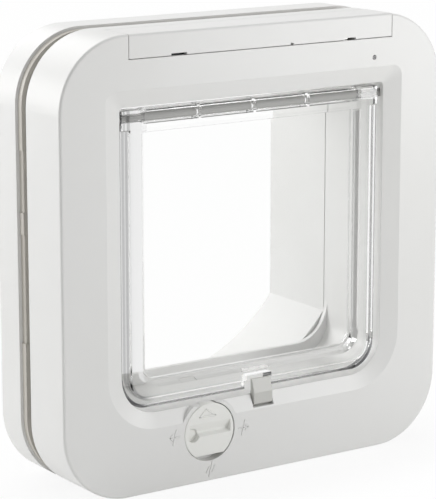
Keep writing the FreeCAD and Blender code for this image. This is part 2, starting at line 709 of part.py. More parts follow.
def make_rack():
    """The rack is a straight bar whose teeth point to the pinion."""
    module = float(at["gear_module"])
    tip_half, root_half, tip, root = rack_flank()
    pitch = math.pi * module
    count = int(at["rack_teeth"].number)
    line = float(latch_x + at["pitch_line"])
    centre = -float(at["pinion_drop"]) - float(at["latch_travel"]) / 2
    back = float(latch_x + at["latch_half"]) - 0.5
    low = centre - count * pitch / 2
    points = [(back, low), (line - root, low)]
    for index in range(count):
        middle = low + (index + 0.5) * pitch
        points += [(line - root, middle - root_half), (line + tip, middle - tip_half),
                   (line + tip, middle + tip_half), (line - root, middle + root_half)]
    points += [(line - root, low + count * pitch), (back, low + count * pitch)]
    depth = gear_face()
    wire = Part.makePolygon([FreeCAD.Vector(x, depth, z) for x, z in points + points[:1]])
    rack = doc.addObject("Part::Feature", "rack_bar")
    rack.Shape = Part.Face(wire).extrude(FreeCAD.Vector(0, float(at["gear_width"]), 0))
    return rack


def gear_face():
    """Depth of the front of the teeth."""
    return -float(at["shank_front"]) + 0.5


def rack_phase():
    """Height of the middle of the rack gap that is level with the pinion, above the pinion axis."""
    pitch = math.pi * float(at["gear_module"])
    centre = -float(at["latch_travel"]) / 2
    low = centre - int(at["rack_teeth"].number) * pitch / 2
    steps = math.floor(-low / pitch)
    return low + steps * pitch


def involute(base, radius, angle):
    """A point on the involute of a base circle, at a radius and a starting angle."""
    roll = math.sqrt(max(0.0, (radius / base) ** 2 - 1))
    turn = angle + roll - math.atan(roll)
    return radius * math.cos(turn), radius * math.sin(turn)


# Pinion: an involute gear on the motor's shaft that lifts the latch by its rack.
def make_pinion():
    module = float(at["gear_module"])
    teeth = int(at["pinion_teeth"].number)
    pressure = math.radians(float(at["pressure_angle"]))
    pitch = module * teeth / 2
    base, tip, root = pitch * math.cos(pressure), pitch + module, pitch - 1.2 * module
    half_thick = (math.pi * module / 2 - float(at["gear_backlash"])) / 2 / pitch
    start = -(half_thick + math.tan(pressure) - pressure)
    centre_x = float(pinion_x)
    centre_z = -float(at["pinion_drop"])
    # A tooth points to the rack gap nearest the axis height.
    facing = math.pi - rack_phase() / pitch
    depth = gear_face()

    def spot(point, turn):
        x, z = point
        return FreeCAD.Vector(centre_x + x * math.cos(turn) - z * math.sin(turn), depth,
                              centre_z + x * math.sin(turn) + z * math.cos(turn))

    edges = []
    for index in range(teeth):
        turn = facing + index * 2 * math.pi / teeth
        rise = [involute(base, radius, start) for radius in (base, (base + tip) / 2, tip)]
        fall = [(x, -z) for x, z in reversed(rise)]
        foot_angle = math.atan2(rise[0][1], rise[0][0])
        feet = [(root * math.cos(foot_angle), root * math.sin(foot_angle)),
                (root * math.cos(foot_angle), -root * math.sin(foot_angle))]
        next_foot = spot(feet[0], turn + 2 * math.pi / teeth)
        edges.append(Part.makeLine(spot(feet[0], turn), spot(rise[0], turn)))
        edges.append(Part.Arc(*(spot(p, turn) for p in rise)).toShape())
        edges.append(Part.Arc(spot(rise[2], turn), spot((tip, 0), turn), spot(fall[0], turn)).toShape())
        edges.append(Part.Arc(*(spot(p, turn) for p in fall)).toShape())
        edges.append(Part.makeLine(spot(fall[2], turn), spot(feet[1], turn)))
        middle = (root * math.cos(math.pi / teeth), root * math.sin(math.pi / teeth))
        edges.append(Part.Arc(spot(feet[1], turn), spot(middle, turn), next_foot).toShape())
    wire = Part.Wire(Part.__sortEdges__(edges))
    blank = doc.addObject("Part::Feature", "pinion_blank")
    blank.Shape = Part.Face(wire).extrude(FreeCAD.Vector(0, float(at["gear_width"]), 0))
    bore = rod("pinion_bore", "y", at["shaft_radius"] + 0.02, pinion_x, -at["shank_front"] - 1,
               -at["pinion_drop"], at["gear_width"] + 3)
    node("motor_pinion", cut("motor_pinion_cut", blank, bore))
    node("motor_shaft", rod("motor_shaft_bar", "y", at["shaft_radius"], pinion_x, -at["shank_front"] + 0.3,
                            -at["pinion_drop"], at["shank_front"] - at["motor_length"] + 1))
    can = rod("motor_can", "y", at["motor_radius"], pinion_x, -at["motor_length"] - at["back_plate"] - 0.4,
              -at["pinion_drop"], at["motor_length"])
    nose = rod("motor_nose", "y", at["shaft_radius"] * 2.5, pinion_x, -at["motor_length"] - at["back_plate"] - 1.4,
               -at["pinion_drop"], as_size(1.5))
    shaft_hole = rod("motor_shaft_hole", "y", at["shaft_radius"] + at["running_gap"], pinion_x, front,
                     -at["pinion_drop"], at["housing_depth"] - at["motor_length"] + 3)
    node("latch_motor", cut("latch_motor_cut", fuse("latch_motor_body", can, nose), shaft_hole))


# Lock knob: a round knob with one flat on its rim, a finger trough across it and a spindle behind.
def make_knob():
    knob = Moulding("lock_knob")
    knob.prism("pad", front + 0.15, at["knob_thick"] - 0.15, knob_x, knob_z, at["knob_radius"],
               shape=round_outline)
    knob.round_edges(0.5, at_depth(front + 0.15))
    knob.prism("pad", front + at["knob_thick"] - 1, at["housing_depth"] - at["knob_thick"] + 1 - at["spindle_end"],
               knob_x, knob_z, at["spindle_radius"], shape=round_outline)
    flat = box("knob_flat", (knob_x - at["knob_radius"], knob_x + at["knob_radius"]),
               (front - 1, front + at["knob_thick"] + 0.1), (knob_z - at["knob_radius"] - 1, knob_z - at["knob_chord"]))
    trough = Moulding("knob_trough")
    drawing = trough.sketch(knob_x - at["knob_radius"] + 2.6, role="YZ_Plane")
    straight_outline(drawing, [(front - 1, knob_z + 6.4), (front + 2.3, knob_z + 0.6), (front + 2.3, knob_z - 0.6),
                               (front - 1, knob_z - 2.2)])
    trough.pad(drawing, at["knob_radius"] * 2 - 4.6, outdoors=False)
    scoop = rod("knob_scoop", "y", as_size(3.2), knob_x - at["knob_radius"] + 4.9, front - 1, knob_z - 0.7, 3.9)
    screw_hole = rod("knob_screw_hole", "y", as_size(1.05), knob_x, -at["spindle_end"] - 8, knob_z, 9)
    node("lock_knob", cut("lock_knob_cut", knob.body, flat, trough.body, scoop, screw_hole))
    screw = fuse("knob_screw_whole",
                 rod("knob_screw_head", "y", at["spindle_radius"] + 1.2, knob_x, -at["spindle_end"] + 0.02, knob_z, 1.6),
                 rod("knob_screw_shank", "y", as_size(1.0), knob_x, -at["spindle_end"] - 7, knob_z, 7.5))
    node("knob_screw", screw)


# Cam: an evenly rising spiral on the knob's spindle, so that each step of the knob lifts the bolt alike.
def make_cam():
    low, high = float(at["cam_low"]), float(at["cam_high"])
    sweep = 1.5 * math.pi
    depth = -float(at["spindle_end"]) - float(at["cam_thick"])
    steps = 18

    def spot(radius, angle):
        return FreeCAD.Vector(float(knob_x) + radius * math.cos(angle), depth, float(knob_z) + radius * math.sin(angle))

    start = math.pi / 2
    points = [spot(low + (high - low) * i / steps, start - sweep * i / steps) for i in range(steps + 1)]
    spiral = Part.BSplineCurve()
    spiral.interpolate(points)
    rest = start + math.radians(40)
    hold = Part.Arc(spot(low, rest), spot(low, (rest + start) / 2), spot(low, start))
    drop = Part.makeLine(points[-1], spot(low, rest))
    wire = Part.Wire([spiral.toShape(), drop, hold.toShape()])
    blank = doc.addObject("Part::Feature", "cam_blank")
    blank.Shape = Part.Face(wire).extrude(FreeCAD.Vector(0, float(at["cam_thick"]), 0))
    bore = rod("cam_bore", "y", at["spindle_radius"] + 0.02, knob_x, -at["spindle_end"] - at["cam_thick"] - 1,
               knob_z, at["cam_thick"] + 2)
    node("lock_cam", cut("lock_cam_cut", blank, bore))


# Lock bolt: stands on the cam through a rounded foot and rises behind the flap when the knob turns.
def make_bolt():
    near = -at["spindle_end"] - at["cam_thick"] + 0.05
    foot = knob_z + at["cam_low"] + at["bolt_clear"] + 1
    span = (near, near + at["bolt_thick"] - 0.1)
    blade = box("bolt_blade", (knob_x - at["bolt_half"], knob_x + at["bolt_half"]), span,
                (foot + 1.6, -at["chamber_low"] - 0.2))
    stem = box("bolt_stem", (knob_x - 1, knob_x + 1), span, (foot, foot + 2))
    toe = rod("bolt_toe", "y", as_size(1.0), knob_x, near, foot, at["bolt_thick"] - 0.1)
    node("lock_bolt", fuse("lock_bolt_whole", blade, stem, toe))


# Battery lid: the strip that closes the bay. It covers the top and laps over the front face.
def make_lid():
    x = (-lid_left, lid_right)
    lid = Moulding("battery_lid")
    drawing = lid.sketch(-lid_left, role="YZ_Plane")
    front_in = front + skin
    straight_outline(drawing, [
        (front, lid_low), (front, frame_half), (-at["lid_back"], frame_half),
        (-at["lid_back"], frame_half - skin), (front_in + 2.2, frame_half - skin),
        (front_in + 2.2, lid_low - 3), (front_in + 0.3, lid_low - 3),
        (front_in + 0.3, lid_low + 1.5), (front_in, lid_low + 1.5), (front_in, lid_low)])
    lid.pad(drawing, lid_left + lid_right, outdoors=False)
    lid.round_edges(at["edge_round"], lambda edge: all(
        abs(v.Point.y - float(front)) < 0.01 and abs(v.Point.z - float(frame_half)) < 0.01 for v in edge.Vertexes))
    trims = []
    for index, (left, right) in enumerate(((-1, 2), (11.5, 129), (138.5, 146))):
        trims.append(box(f"lid_trim_{index}", (x[0] + left, x[0] + right), (front_in, front_in + 3),
                         (lid_low - 4, frame_half - skin)))
    for index, (left, right) in enumerate(((21.9, 30.1), (117.5, 123.7), (86.6, 88.2))):
        trims.append(box(f"lid_notch_{index}", (x[0] + left, x[0] + right), (front - 1, front_in),
                         (lid_low - 1, lid_low + at["lid_notch"])))
    node("battery_lid", cut("battery_lid_cut", lid.body, *trims))


def cell_rows():
    """Height and depth of the two rows of cells."""
    return (("high", -at["high_row_y"], high_row_z), ("low", -at["low_row_y"], low_row_z))


# Battery tray with its cells, springs and sheet contacts. Two cells lie end to end in each row.
def make_battery_bay():
    wall = at["tray_wall"]
    end = bay_end
    back = -at["back_plate"] - at["fit_gap"]
    shells, hollows, springs, plates = [], [], [], []
    for name, y, z in cell_rows():
        shells.append(rod(f"tray_shell_{name}", "x", at["cell_radius"] + 0.35 + wall, -end, y, z, end * 2))
        hollows.append(rod(f"tray_hollow_{name}", "x", at["cell_radius"] + 0.35, -end, y, z, end * 2))
    trim_top = box("tray_trim_top", (-end - 1, end + 1), (front, as_size(0)),
                   (high_row_z - 1, frame_half))
    trim_low = box("tray_trim_low", (-end - 1, end + 1), (front, as_size(0)),
                   (at["chamber_top"], at["chamber_top"] + at["chamber_wall"] + 0.1))
    trim_back = box("tray_trim_back", (-end - 1, end + 1), (back, as_size(5)),
                    (at["chamber_top"], frame_half))
    trim_front = box("tray_trim_front", (-end - 1, end + 1), (front - 1, front + skin + 0.2),
                     (at["chamber_top"], frame_half))
    coil_room = box("tray_coil_room", (-end - 1, end + 1), (back - at["coil_depth"] - 0.4, as_size(5)),
                    (at["chamber_top"], at["chamber_top"] + at["chamber_wall"] + at["coil_build"] + 0.3))
    shell = cut("tray_cradle", fuse("tray_shells", *shells), *hollows, trim_top, trim_low, trim_back,
                trim_front, coil_room)
    dividers = []
    low_z = at["chamber_top"] + at["chamber_wall"] + 0.1
    for index, left in enumerate((-end - wall, -wall / 2, end)):
        dividers.append(box(f"tray_wall_{index}", (left, left + wall), (front + skin + 3, back),
                            (low_row_z, high_row_z + 5)))
        dividers.append(box(f"tray_foot_{index}", (left, left + wall), (-at["low_row_y"] - at["cell_radius"], back - at["coil_depth"] - 0.4),
                            (low_z, low_row_z + 1)))
    shelf = box("tray_shelf", (end, end + 21), (-at["high_row_y"] - 4, -at["high_row_y"] + 4),
                (high_row_z - 5.2, high_row_z - 3.7))
    node("battery_tray", fuse("battery_tray_whole", shell, shelf, *dividers))
    count = 0
    half = at["cell_radius"] * 0.6
    for name, y, z in cell_rows():
        for side in (-1, 1):
            count += 1
            inner = wall / 2 + at["contact_thick"]
            body_start = inner + at["nib_length"] if side > 0 else -(inner + at["nib_length"] + at["cell_length"])
            nib_start = inner if side > 0 else -(inner + at["nib_length"] + 0.2)
            can = rod(f"cell_can_{count}", "x", at["cell_radius"], body_start, y, z, at["cell_length"])
            nib = rod(f"cell_nib_{count}", "x", at["nib_radius"], nib_start, y, z, at["nib_length"] + 0.2)
            node(f"battery_cell_{count}", fuse(f"battery_cell_whole_{count}", can, nib))
            spring_start = inner + at["nib_length"] + at["cell_length"]
            springs.append(make_spring(f"spring_{count}", side, float(spring_start), float(y), float(z)))
            for kind, offset in (("inner", wall / 2), ("outer", end - at["contact_thick"])):
                left = offset if side > 0 else -(offset + at["contact_thick"])
                plates.append(box(f"contact_{kind}_{count}", (left, left + at["contact_thick"]), (y - half, y + half),
                                  (z - half, z + half)))
    node("battery_springs", group("battery_springs_group", *springs))
    node("battery_contacts", group("battery_contacts_group", *plates))


def make_spring(name, side, start, y, z):
    """A conical contact spring as two stacked rings joined by a short cone."""
    length = float(at["spring_length"])
    spring = doc.addObject("Part::Feature", name)
    way = FreeCAD.Vector(side, 0, 0)
    foot = FreeCAD.Vector(side * start, y, z)
    wide = float(at["cell_radius"]) * 0.58
    wire = length / 6
    outer = Part.makeCone(wide / 2 + wire, wide, length, foot, way)
    inner = Part.makeCone(wide / 2, wide - wire, length, foot, way)
    spring.Shape = outer.cut(inner)
    return spring


# Boards, status light, light pipe, reader coil and the pairing button under the battery lid.
def make_electronics():
    x, z = light_side, at["light_height"]
    board_front = front + skin + at["light_setback"]
    node("light_board", box("light_board_sheet", (x - 6.5, x + 8), (board_front, board_front + at["board_thick"]),
                            (z - 7, z + 4.2)))
    lamp = fuse("status_light_whole",
                rod("status_light_barrel", "y", as_size(1.5), x, board_front - 2.4, z, 2.4),
                ball("status_light_dome", as_size(1.5), x, board_front - 2.4, z))
    node("status_light", lamp)
    node("light_pipe", rod("light_pipe_bar", "y", at["light_radius"], x, front + 0.25, z, skin + 0.9))
    coil = Moulding("reader_coil")
    coil.prism("pad", -at["back_plate"] - 0.3 - at["coil_depth"], at["coil_depth"],
               *chamber_outline(at["chamber_wall"] + at["coil_build"]))
    coil.prism("pocket", -at["back_plate"] - 0.3 - at["coil_depth"], at["coil_depth"],
               *chamber_outline(at["chamber_wall"] + 0.1))
    node("reader_coil", coil.body)
    back = -at["back_plate"] - at["board_rise"]
    board = box("control_board_sheet", (at["board_left"], at["board_right"]), (back - at["board_thick"], back),
                (-at["board_low"], -at["board_high"]))
    board_holes = [rod(f"board_hole_{index}", "y", as_size(1.1), x, back - 3, z, 5)
                   for index, (x, z) in enumerate(board_places())]
    node("control_board", cut("control_board_cut", board, *board_holes))
    chip_back = back - at["board_thick"]
    chips = []
    across = at["board_right"] - at["board_left"]
    upwards = at["board_low"] - at["board_high"]
    for index, (left, right, low, high, thick) in enumerate((
            (0.18, 0.37, 0.30, 0.74, 1), (0.43, 0.56, 0.08, 0.30, 0.75), (0.43, 0.65, 0.43, 0.78, 1.4),
            (0.70, 0.76, 0.17, 0.70, 1.9))):
        chips.append(box(f"chip_{index}", (at["board_left"] + across * left, at["board_left"] + across * right),
                         (chip_back - at["board_thick"] * thick, chip_back),
                         (upwards * low - at["board_low"], upwards * high - at["board_low"])))
    chips.append(rod("capacitor", "y", at["board_thick"] * 2, at["board_left"] + across * 0.87,
                     chip_back - at["board_thick"] * 5.6, upwards * 0.48 - at["board_low"], at["board_thick"] * 5.6))
    node("board_parts", group("board_parts_group", *chips))
    bx, by = light_side, -at["high_row_y"]
    base = high_row_z - 3.7
    half = at["button_radius"]
    body = box("switch_block", (bx - half, bx + half), (by - half, by + half), (base, base + 3.4))
    hole = rod("switch_hole", "z", half / 2 + at["running_gap"], bx, by, base + 0.8, 4)
    node("button_switch", cut("button_switch_cut", body, hole))
    stem = rod("button_stem", "z", half / 2, bx, by, base + 1.8, 3)
    cap = rod("button_cap", "z", half, bx, by, base + 4.4, 3.4)
    node("pairing_button", fuse("pairing_button_whole", stem, cap))


# Outdoor frame: a hollow frame with a collar round the indoor tunnel, a cross wall behind it, and a
# tunnel of its own whose floor is a wide arc.
def porch_outline(sketch, grow):
    """Straight walls and ceiling over an arc floor, wider by the same wall all round."""
    half = float(at["chamber_half"]) + grow
    top = float(at["chamber_top"]) + grow
    radius = float(at["porch_radius"]) + grow
    middle = float(at["porch_radius"]) - float(at["porch_low"])
    spot = FreeCAD.Vector
    turn = math.asin(half / radius)
    knee = middle - radius * math.cos(turn)
    arc = Part.ArcOfCircle(Part.Circle(spot(0, middle), spot(0, 0, 1), radius),
                           1.5 * math.pi - turn, 1.5 * math.pi + turn)
    floor = sketch.addGeometry(arc)
    right = sketch.addGeometry(Part.LineSegment(spot(half, knee), spot(half, top)))
    ceiling = sketch.addGeometry(Part.LineSegment(spot(half, top), spot(-half, top)))
    left = sketch.addGeometry(Part.LineSegment(spot(-half, top), spot(-half, knee)))
    for first, second in ((floor, right), (right, ceiling), (ceiling, left), (left, floor)):
        sketch.addConstraint(Sketcher.Constraint("Coincident", first, 2, second, 1))
    sketch.addConstraint(Sketcher.Constraint("Vertical", right))
    sketch.addConstraint(Sketcher.Constraint("Horizontal", ceiling))
    sketch.addConstraint(Sketcher.Constraint("Vertical", left))
    number = sketch.addConstraint(Sketcher.Constraint("Radius", floor, radius))
    sketch.renameConstraint(number, "floor_radius")
    bind(sketch, "Constraints.floor_radius", at["porch_radius"] + grow)
    pin(sketch, "middle", floor, 3, at["porch_radius"] - at["porch_low"], "Y")
    pin(sketch, "wall_right", right, 1, at["chamber_half"] + grow, "X")
    pin(sketch, "wall_left", left, 1, -(at["chamber_half"] + grow), "X")
    pin(sketch, "ceiling", ceiling, 1, at["chamber_top"] + grow, "Y")


def make_outdoor_frame():
    outdoor = Moulding("outdoor_frame")
    near = at["panel_gap"]
    depth = at["outer_depth"]
    outdoor.prism("pad", near, depth, *frame_outline(0.0))
    outdoor.round_edges(at["edge_round"], at_depth(outer_face))
    outdoor.prism("pad", near - at["lip_height"], at["lip_height"] + skin, *frame_outline(at["lip_inset"]))
    outdoor.prism("pocket", near - at["lip_height"], at["lip_height"] + skin,
                  *frame_outline(at["lip_inset"] + at["lip_wall"]))
    outdoor.prism("pocket", near, depth - skin, *frame_outline(skin))
    collar = at["chamber_wall"] + at["socket_gap"]
    wall = at["porch_wall"]
    outdoor.prism("pad", near, depth, *chamber_outline(collar + wall))
    shoulder = at["chamber_reach"] + at["socket_gap"]
    porch = outdoor.sketch(shoulder - at["web"])
    porch_outline(porch, float(wall))
    outdoor.pad(porch, at["tunnel_reach"] - shoulder + at["web"])
    outdoor.prism("pocket", near, shoulder - near, *chamber_outline(collar))
    hollow = outdoor.sketch(shoulder)
    porch_outline(hollow, 0.0)
    outdoor.pocket(hollow, at["tunnel_reach"])
    for x, z in fixing_places():
        outdoor.prism("pad", near, depth, x, z, at["outer_boss"], shape=round_outline)
        outdoor.prism("pocket", near, depth, x, z, at["fixing_radius"] + at["running_gap"], shape=round_outline)
        cap_seat = at["cap_thick"] + 2.6
        outdoor.prism("pocket", outer_face - cap_seat, cap_seat, x, z, at["cap_radius"] + at["running_gap"],
                      shape=round_outline)
    ribs = []
    reach = at["chamber_half"] + collar + wall / 2
    for side in (-1, 1):
        span = (reach, frame_half - skin / 2) if side > 0 else (-(frame_half - skin / 2), -reach)
        for name, z in (("high", at["stiffener_high"]), ("low", -at["stiffener_low"])):
            ribs.append(box(f"stiffener_{name}_{side + 1}", span, (near + 1.5, outer_face - skin / 2), (z - 1, z + 1)))
    gaps = []
    for side in (-1, 1):
        span = (frame_half - at["corner_radius"], frame_half)
        span = span if side > 0 else (-span[1], -span[0])
        tab_low, tab_high = at["tab_middle"] - at["tab_half"], at["tab_middle"] + at["tab_half"]
        for name, low, high in (("low", -at["stiffener_low"], tab_low), ("high", tab_high, at["stiffener_high"])):
            gaps.append(box(f"lip_gap_{name}_{side + 1}", span, (near - at["lip_height"] - 1, near), (low, high)))
    whole = fuse("outdoor_frame_whole", outdoor.body, *ribs)
    node("outdoor_frame", cut("outdoor_frame_cut", whole, *gaps))


# Fasteners: long panel screws from outdoors, their caps, and the screws of the front cover.
def make_fasteners():
    screws, caps, small = [], [], []
    seat = outer_face - at["cap_thick"] - 2.6
    for index, (x, z) in enumerate(fixing_places()):
        length = seat + at["fixing_grip"] - 0.5
        shank = rod(f"panel_shank_{index}", "y", at["fixing_radius"], x, seat - length, z, length + 0.5)
        head = rod(f"panel_head_{index}", "y", at["fixing_head"], x, seat, z, 2.3)
        socket = rod(f"panel_drive_{index}", "y", as_size(1.6), x, seat + 1, z, 3)
        screws.append(cut(f"panel_screw_{index}", fuse(f"panel_blank_{index}", shank, head), socket))
        caps.append(rod(f"panel_cap_{index}", "y", at["cap_radius"], x, outer_face - at["cap_thick"], z,
                        at["cap_thick"]))
    for index, (x, z) in enumerate(cover_screw_places()):
        head_radius = at["cover_screw_radius"] * 2
        head = rod(f"cover_head_{index}", "y", head_radius, x, as_size(-1.75), z, 1.6)
        shank = rod(f"cover_shank_{index}", "y", at["cover_screw_radius"], x, -at["cover_screw_length"], z,
                    at["cover_screw_length"] - 1)
        small.append(fuse(f"cover_screw_{index}", shank, head))
    node("panel_screws", group("panel_screws_group", *screws))
    node("screw_caps", group("screw_caps_group", *caps))
    node("cover_screws", group("cover_screws_group", *small))


make_front_cover()
make_rear_housing()
make_flap()
make_hinge_rod()
make_latch()
make_pinion()
make_knob()
make_cam()
make_bolt()
make_lid()
make_battery_bay()
make_electronics()
make_outdoor_frame()
make_fasteners()
doc.recompute()

for thing in doc.Objects:
    if "Invalid" in thing.State or "Error" in thing.State:
        raise RuntimeError(f"{thing.Name} did not build: {thing.State}")
for name, solid in nodes.items():
    if solid.Shape.isNull() or not solid.Shape.isValid() or not solid.Shape.Solids:
        raise RuntimeError(f"{name} has no valid solid")

os.makedirs("parts", exist_ok=True)
for name, solid in nodes.items():
    solid.Shape.exportStep(f"parts/{name}.step")
    limits = solid.Shape.BoundBox
    print(f"{name:18s} solids {len(solid.Shape.Solids)}  volume {solid.Shape.Volume:10.1f}  "
          f"x {limits.XMin:7.1f} {limits.XMax:7.1f}  y {limits.YMin:6.1f} {limits.YMax:6.1f}  "
          f"z {limits.ZMin:7.1f} {limits.ZMax:7.1f}")
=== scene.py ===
# %% [markdown]
# A cat flap with a clear swinging door, dressed for a studio picture.
#
# The solid model comes in as a fixed frame: every shell, rod, screw and gear is already there at its
# real size, in metres, with +Y pointing outdoors, +X to the right seen from indoors and +Z up. This
# lesson gives those solids their finishes, adds the fine pieces that are too small or too thin for
# the solid model, and sets up the floor, the lamps and the camera.

# %% Load the frame
import math

import bmesh
import bpy
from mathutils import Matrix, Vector


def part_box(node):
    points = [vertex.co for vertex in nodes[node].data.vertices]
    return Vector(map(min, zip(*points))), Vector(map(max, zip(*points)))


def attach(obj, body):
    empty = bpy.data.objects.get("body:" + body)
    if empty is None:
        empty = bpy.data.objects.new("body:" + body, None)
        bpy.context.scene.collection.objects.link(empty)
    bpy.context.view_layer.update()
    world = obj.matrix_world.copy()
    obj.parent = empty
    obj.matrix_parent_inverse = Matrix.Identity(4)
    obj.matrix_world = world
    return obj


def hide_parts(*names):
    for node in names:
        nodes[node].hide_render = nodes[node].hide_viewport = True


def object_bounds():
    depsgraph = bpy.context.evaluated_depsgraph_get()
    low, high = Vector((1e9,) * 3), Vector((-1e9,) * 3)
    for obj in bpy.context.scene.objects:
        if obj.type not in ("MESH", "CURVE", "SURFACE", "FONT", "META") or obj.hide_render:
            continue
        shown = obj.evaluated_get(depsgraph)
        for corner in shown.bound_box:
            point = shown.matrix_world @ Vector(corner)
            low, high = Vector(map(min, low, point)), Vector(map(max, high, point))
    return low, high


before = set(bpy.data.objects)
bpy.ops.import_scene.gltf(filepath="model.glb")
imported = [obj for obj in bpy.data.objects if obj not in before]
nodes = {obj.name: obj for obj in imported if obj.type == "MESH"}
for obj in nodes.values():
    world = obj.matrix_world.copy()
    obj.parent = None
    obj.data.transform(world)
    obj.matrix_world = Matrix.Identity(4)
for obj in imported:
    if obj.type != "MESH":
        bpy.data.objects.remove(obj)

cad_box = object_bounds()
print("nodes:", len(nodes))

# %% [markdown]
# Shader sums read best as sums. A node socket holds a number that changes over the surface, so a
# small class wraps one socket and gives it the usual operators. Each operator adds one Math node.
# The reflected forms make `1 - mask` work as well as `mask - 1`.


# %% Sockets that can be added and multiplied
class Field:
    """One output socket of a node tree."""

    def __init__(self, owner, link):
        self.owner = owner
        self.link = link

    def math(self, operation, *values):
        """One Math node that works on the given values."""
        return self.owner.node("ShaderNodeMath", {"operation": operation}, dict(enumerate(values)))

    def __add__(self, other):
        return self.math("ADD", self, other)

    def __radd__(self, other):
        return self.math("ADD", other, self)

    def __sub__(self, other):
        return self.math("SUBTRACT", self, other)

    def __rsub__(self, other):
        return self.math("SUBTRACT", other, self)

    def __mul__(self, other):
        return self.math("MULTIPLY", self, other)

    def __rmul__(self, other):
        return self.math("MULTIPLY", other, self)

    def __neg__(self):
        return 0 - self

    def __abs__(self):
        return self.math("ABSOLUTE", self)

    def sine(self):
        return self.math("SINE", self)

    def root(self):
        return self.math("SQRT", self)

    def at_least(self, other):
        return self.math("MAXIMUM", self, other)

    def clamp(self):
        """The value, kept between 0 and 1."""
        clamped = self * 1.0
        clamped.link.node.use_clamp = True
        return clamped

    def smooth(self, low, high):
        """0 below low, 1 above high and a soft step between."""
        settings = {"interpolation_type": "SMOOTHSTEP"}
        sockets = {"Value": self, "From Min": low, "From Max": high}
        return self.owner.node("ShaderNodeMapRange", settings, sockets)

    def between(self, low, high, soft):
        """1 between low and high, with a soft step inside each end."""
        return self.smooth(low, low + soft) * (1 - self.smooth(high - soft, high))


print("a Field has:", ", ".join(name for name in vars(Field) if not name.startswith("_")))

# %% [markdown]
# A material and the world both hold a tree of nodes. Every node comes from the same method: it takes
# the node's type, then its settings, then the values or links of its sockets. The settings go in
# first, because a node such as Mix only shows the right sockets once its data type is known.


# %% A tree of nodes
class Tree:
    """The node tree of a material or of the world."""

    def __init__(self, owner):
        owner.use_nodes = True
        self.tree = owner.node_tree
        self.tree.nodes.clear()

    def feed(self, socket, value):
        """Link a Field to a socket, or set the socket's own value."""
        if isinstance(value, Field):
            self.tree.links.new(value.link, socket)
        else:
            socket.default_value = value

    def node(self, kind, settings=None, sockets=None, output=0):
        """A new node, handed back as one of its outputs."""
        made = self.tree.nodes.new(kind)
        for setting, value in (settings or {}).items():
            setattr(made, setting, value)
        for socket, value in (sockets or {}).items():
            self.feed(made.inputs[socket], value)
        return Field(self, made.outputs[output]) if made.outputs else made

    def rays(self, *kinds):
        """1 for rays of any of the given kinds, such as Is Camera Ray."""
        path = self.node("ShaderNodeLightPath").link.node.outputs
        found = Field(self, path[kinds[0]])
        for kind in kinds[1:]:
            found = found + Field(self, path[kind])
        return found.clamp()

    def mix_shaders(self, share, first, second):
        """The first shader, with a share of the second."""
        return self.node("ShaderNodeMixShader", sockets={0: share, 1: first, 2: second})


print("a Tree has:", ", ".join(name for name in vars(Tree) if not name.startswith("_")))

# %% [markdown]
# A finish is one material with a Principled shader. Constants go on the shader's own sockets. What
# changes over the surface comes from the methods below: the place of a point on its piece, smooth
# noise, a blend of two colours, a bump, and normals that soften the edges. A Mix node has sockets for
# numbers, vectors and colours, some under the same name, so the colour ones are found by position.

# %% A finish
MIX_COLOURS = (6, 7)
MIX_COLOUR_RESULT = 2


class Finish(Tree):
    """A material built around one Principled shader."""

    def __init__(self, name, colour, roughness, **fixed):
        self.material = bpy.data.materials.new(name)
        super().__init__(self.material)
        self.output = self.node("ShaderNodeOutputMaterial")
        self.skin = self.node("ShaderNodeBsdfPrincipled")
        self.surface(self.skin)
        self.set("Base Color", (*colour, 1.0))
        self.set("Roughness", roughness)
        for socket, value in fixed.items():
            self.set(socket.replace("_", " "), value)

    def set(self, socket, value):
        """One of the Principled shader's sockets."""
        self.feed(self.skin.link.node.inputs[socket], value)

    def surface(self, shader):
        """What the material shows."""
        self.feed(self.output.inputs[0], shader)

    def place(self):
        """Where a point is on its piece, in metres."""
        return self.node("ShaderNodeTexCoord", output="Object")

    def axes(self):
        """The three coordinates of a point as three fields."""
        split = self.node("ShaderNodeSeparateXYZ", sockets={"Vector": self.place()})
        outputs = split.link.node.outputs
        return tuple(Field(self, outputs[axis]) for axis in "XYZ")

    def noise(self, size, detail, stretch=(1.0, 1.0, 1.0)):
        """Smooth random values with blotches about `size` metres across."""
        scale = tuple(1.0 / part for part in stretch)
        settings = {"vector_type": "POINT"}
        scaled = self.node("ShaderNodeMapping", settings, {"Vector": self.place(), "Scale": scale})
        sockets = {"Vector": scaled, "Scale": 1.0 / size, "Detail": detail}
        return self.node("ShaderNodeTexNoise", sockets=sockets)

    def blend(self, factor, first, second):
        """A colour between two others, each a Field or three numbers."""
        settings = {"data_type": "RGBA"}
        made = self.node("ShaderNodeMix", settings, {"Factor": factor}, output=MIX_COLOUR_RESULT)
        for socket, value in zip(MIX_COLOURS, (first, second)):
            colour = value if isinstance(value, Field) else (*value, 1.0)
            self.feed(made.link.node.inputs[socket], colour)
        return made

    def bump(self, height, depth, strength=1.0, normal=None):
        """Raise the surface by `height` times `depth` metres."""
        sockets = {"Height": height, "Distance": depth, "Strength": strength}
        if normal is not None:
            sockets["Normal"] = normal
        return self.node("ShaderNodeBump", sockets=sockets)

    def soft_edges(self, radius):
        """Normals that round each sharp edge a little, as a mould does."""
        return self.node("ShaderNodeBevel", {"samples": 6}, {"Radius": radius})


print("a Finish has:", ", ".join(name for name in vars(Finish) if not name.startswith("_")))
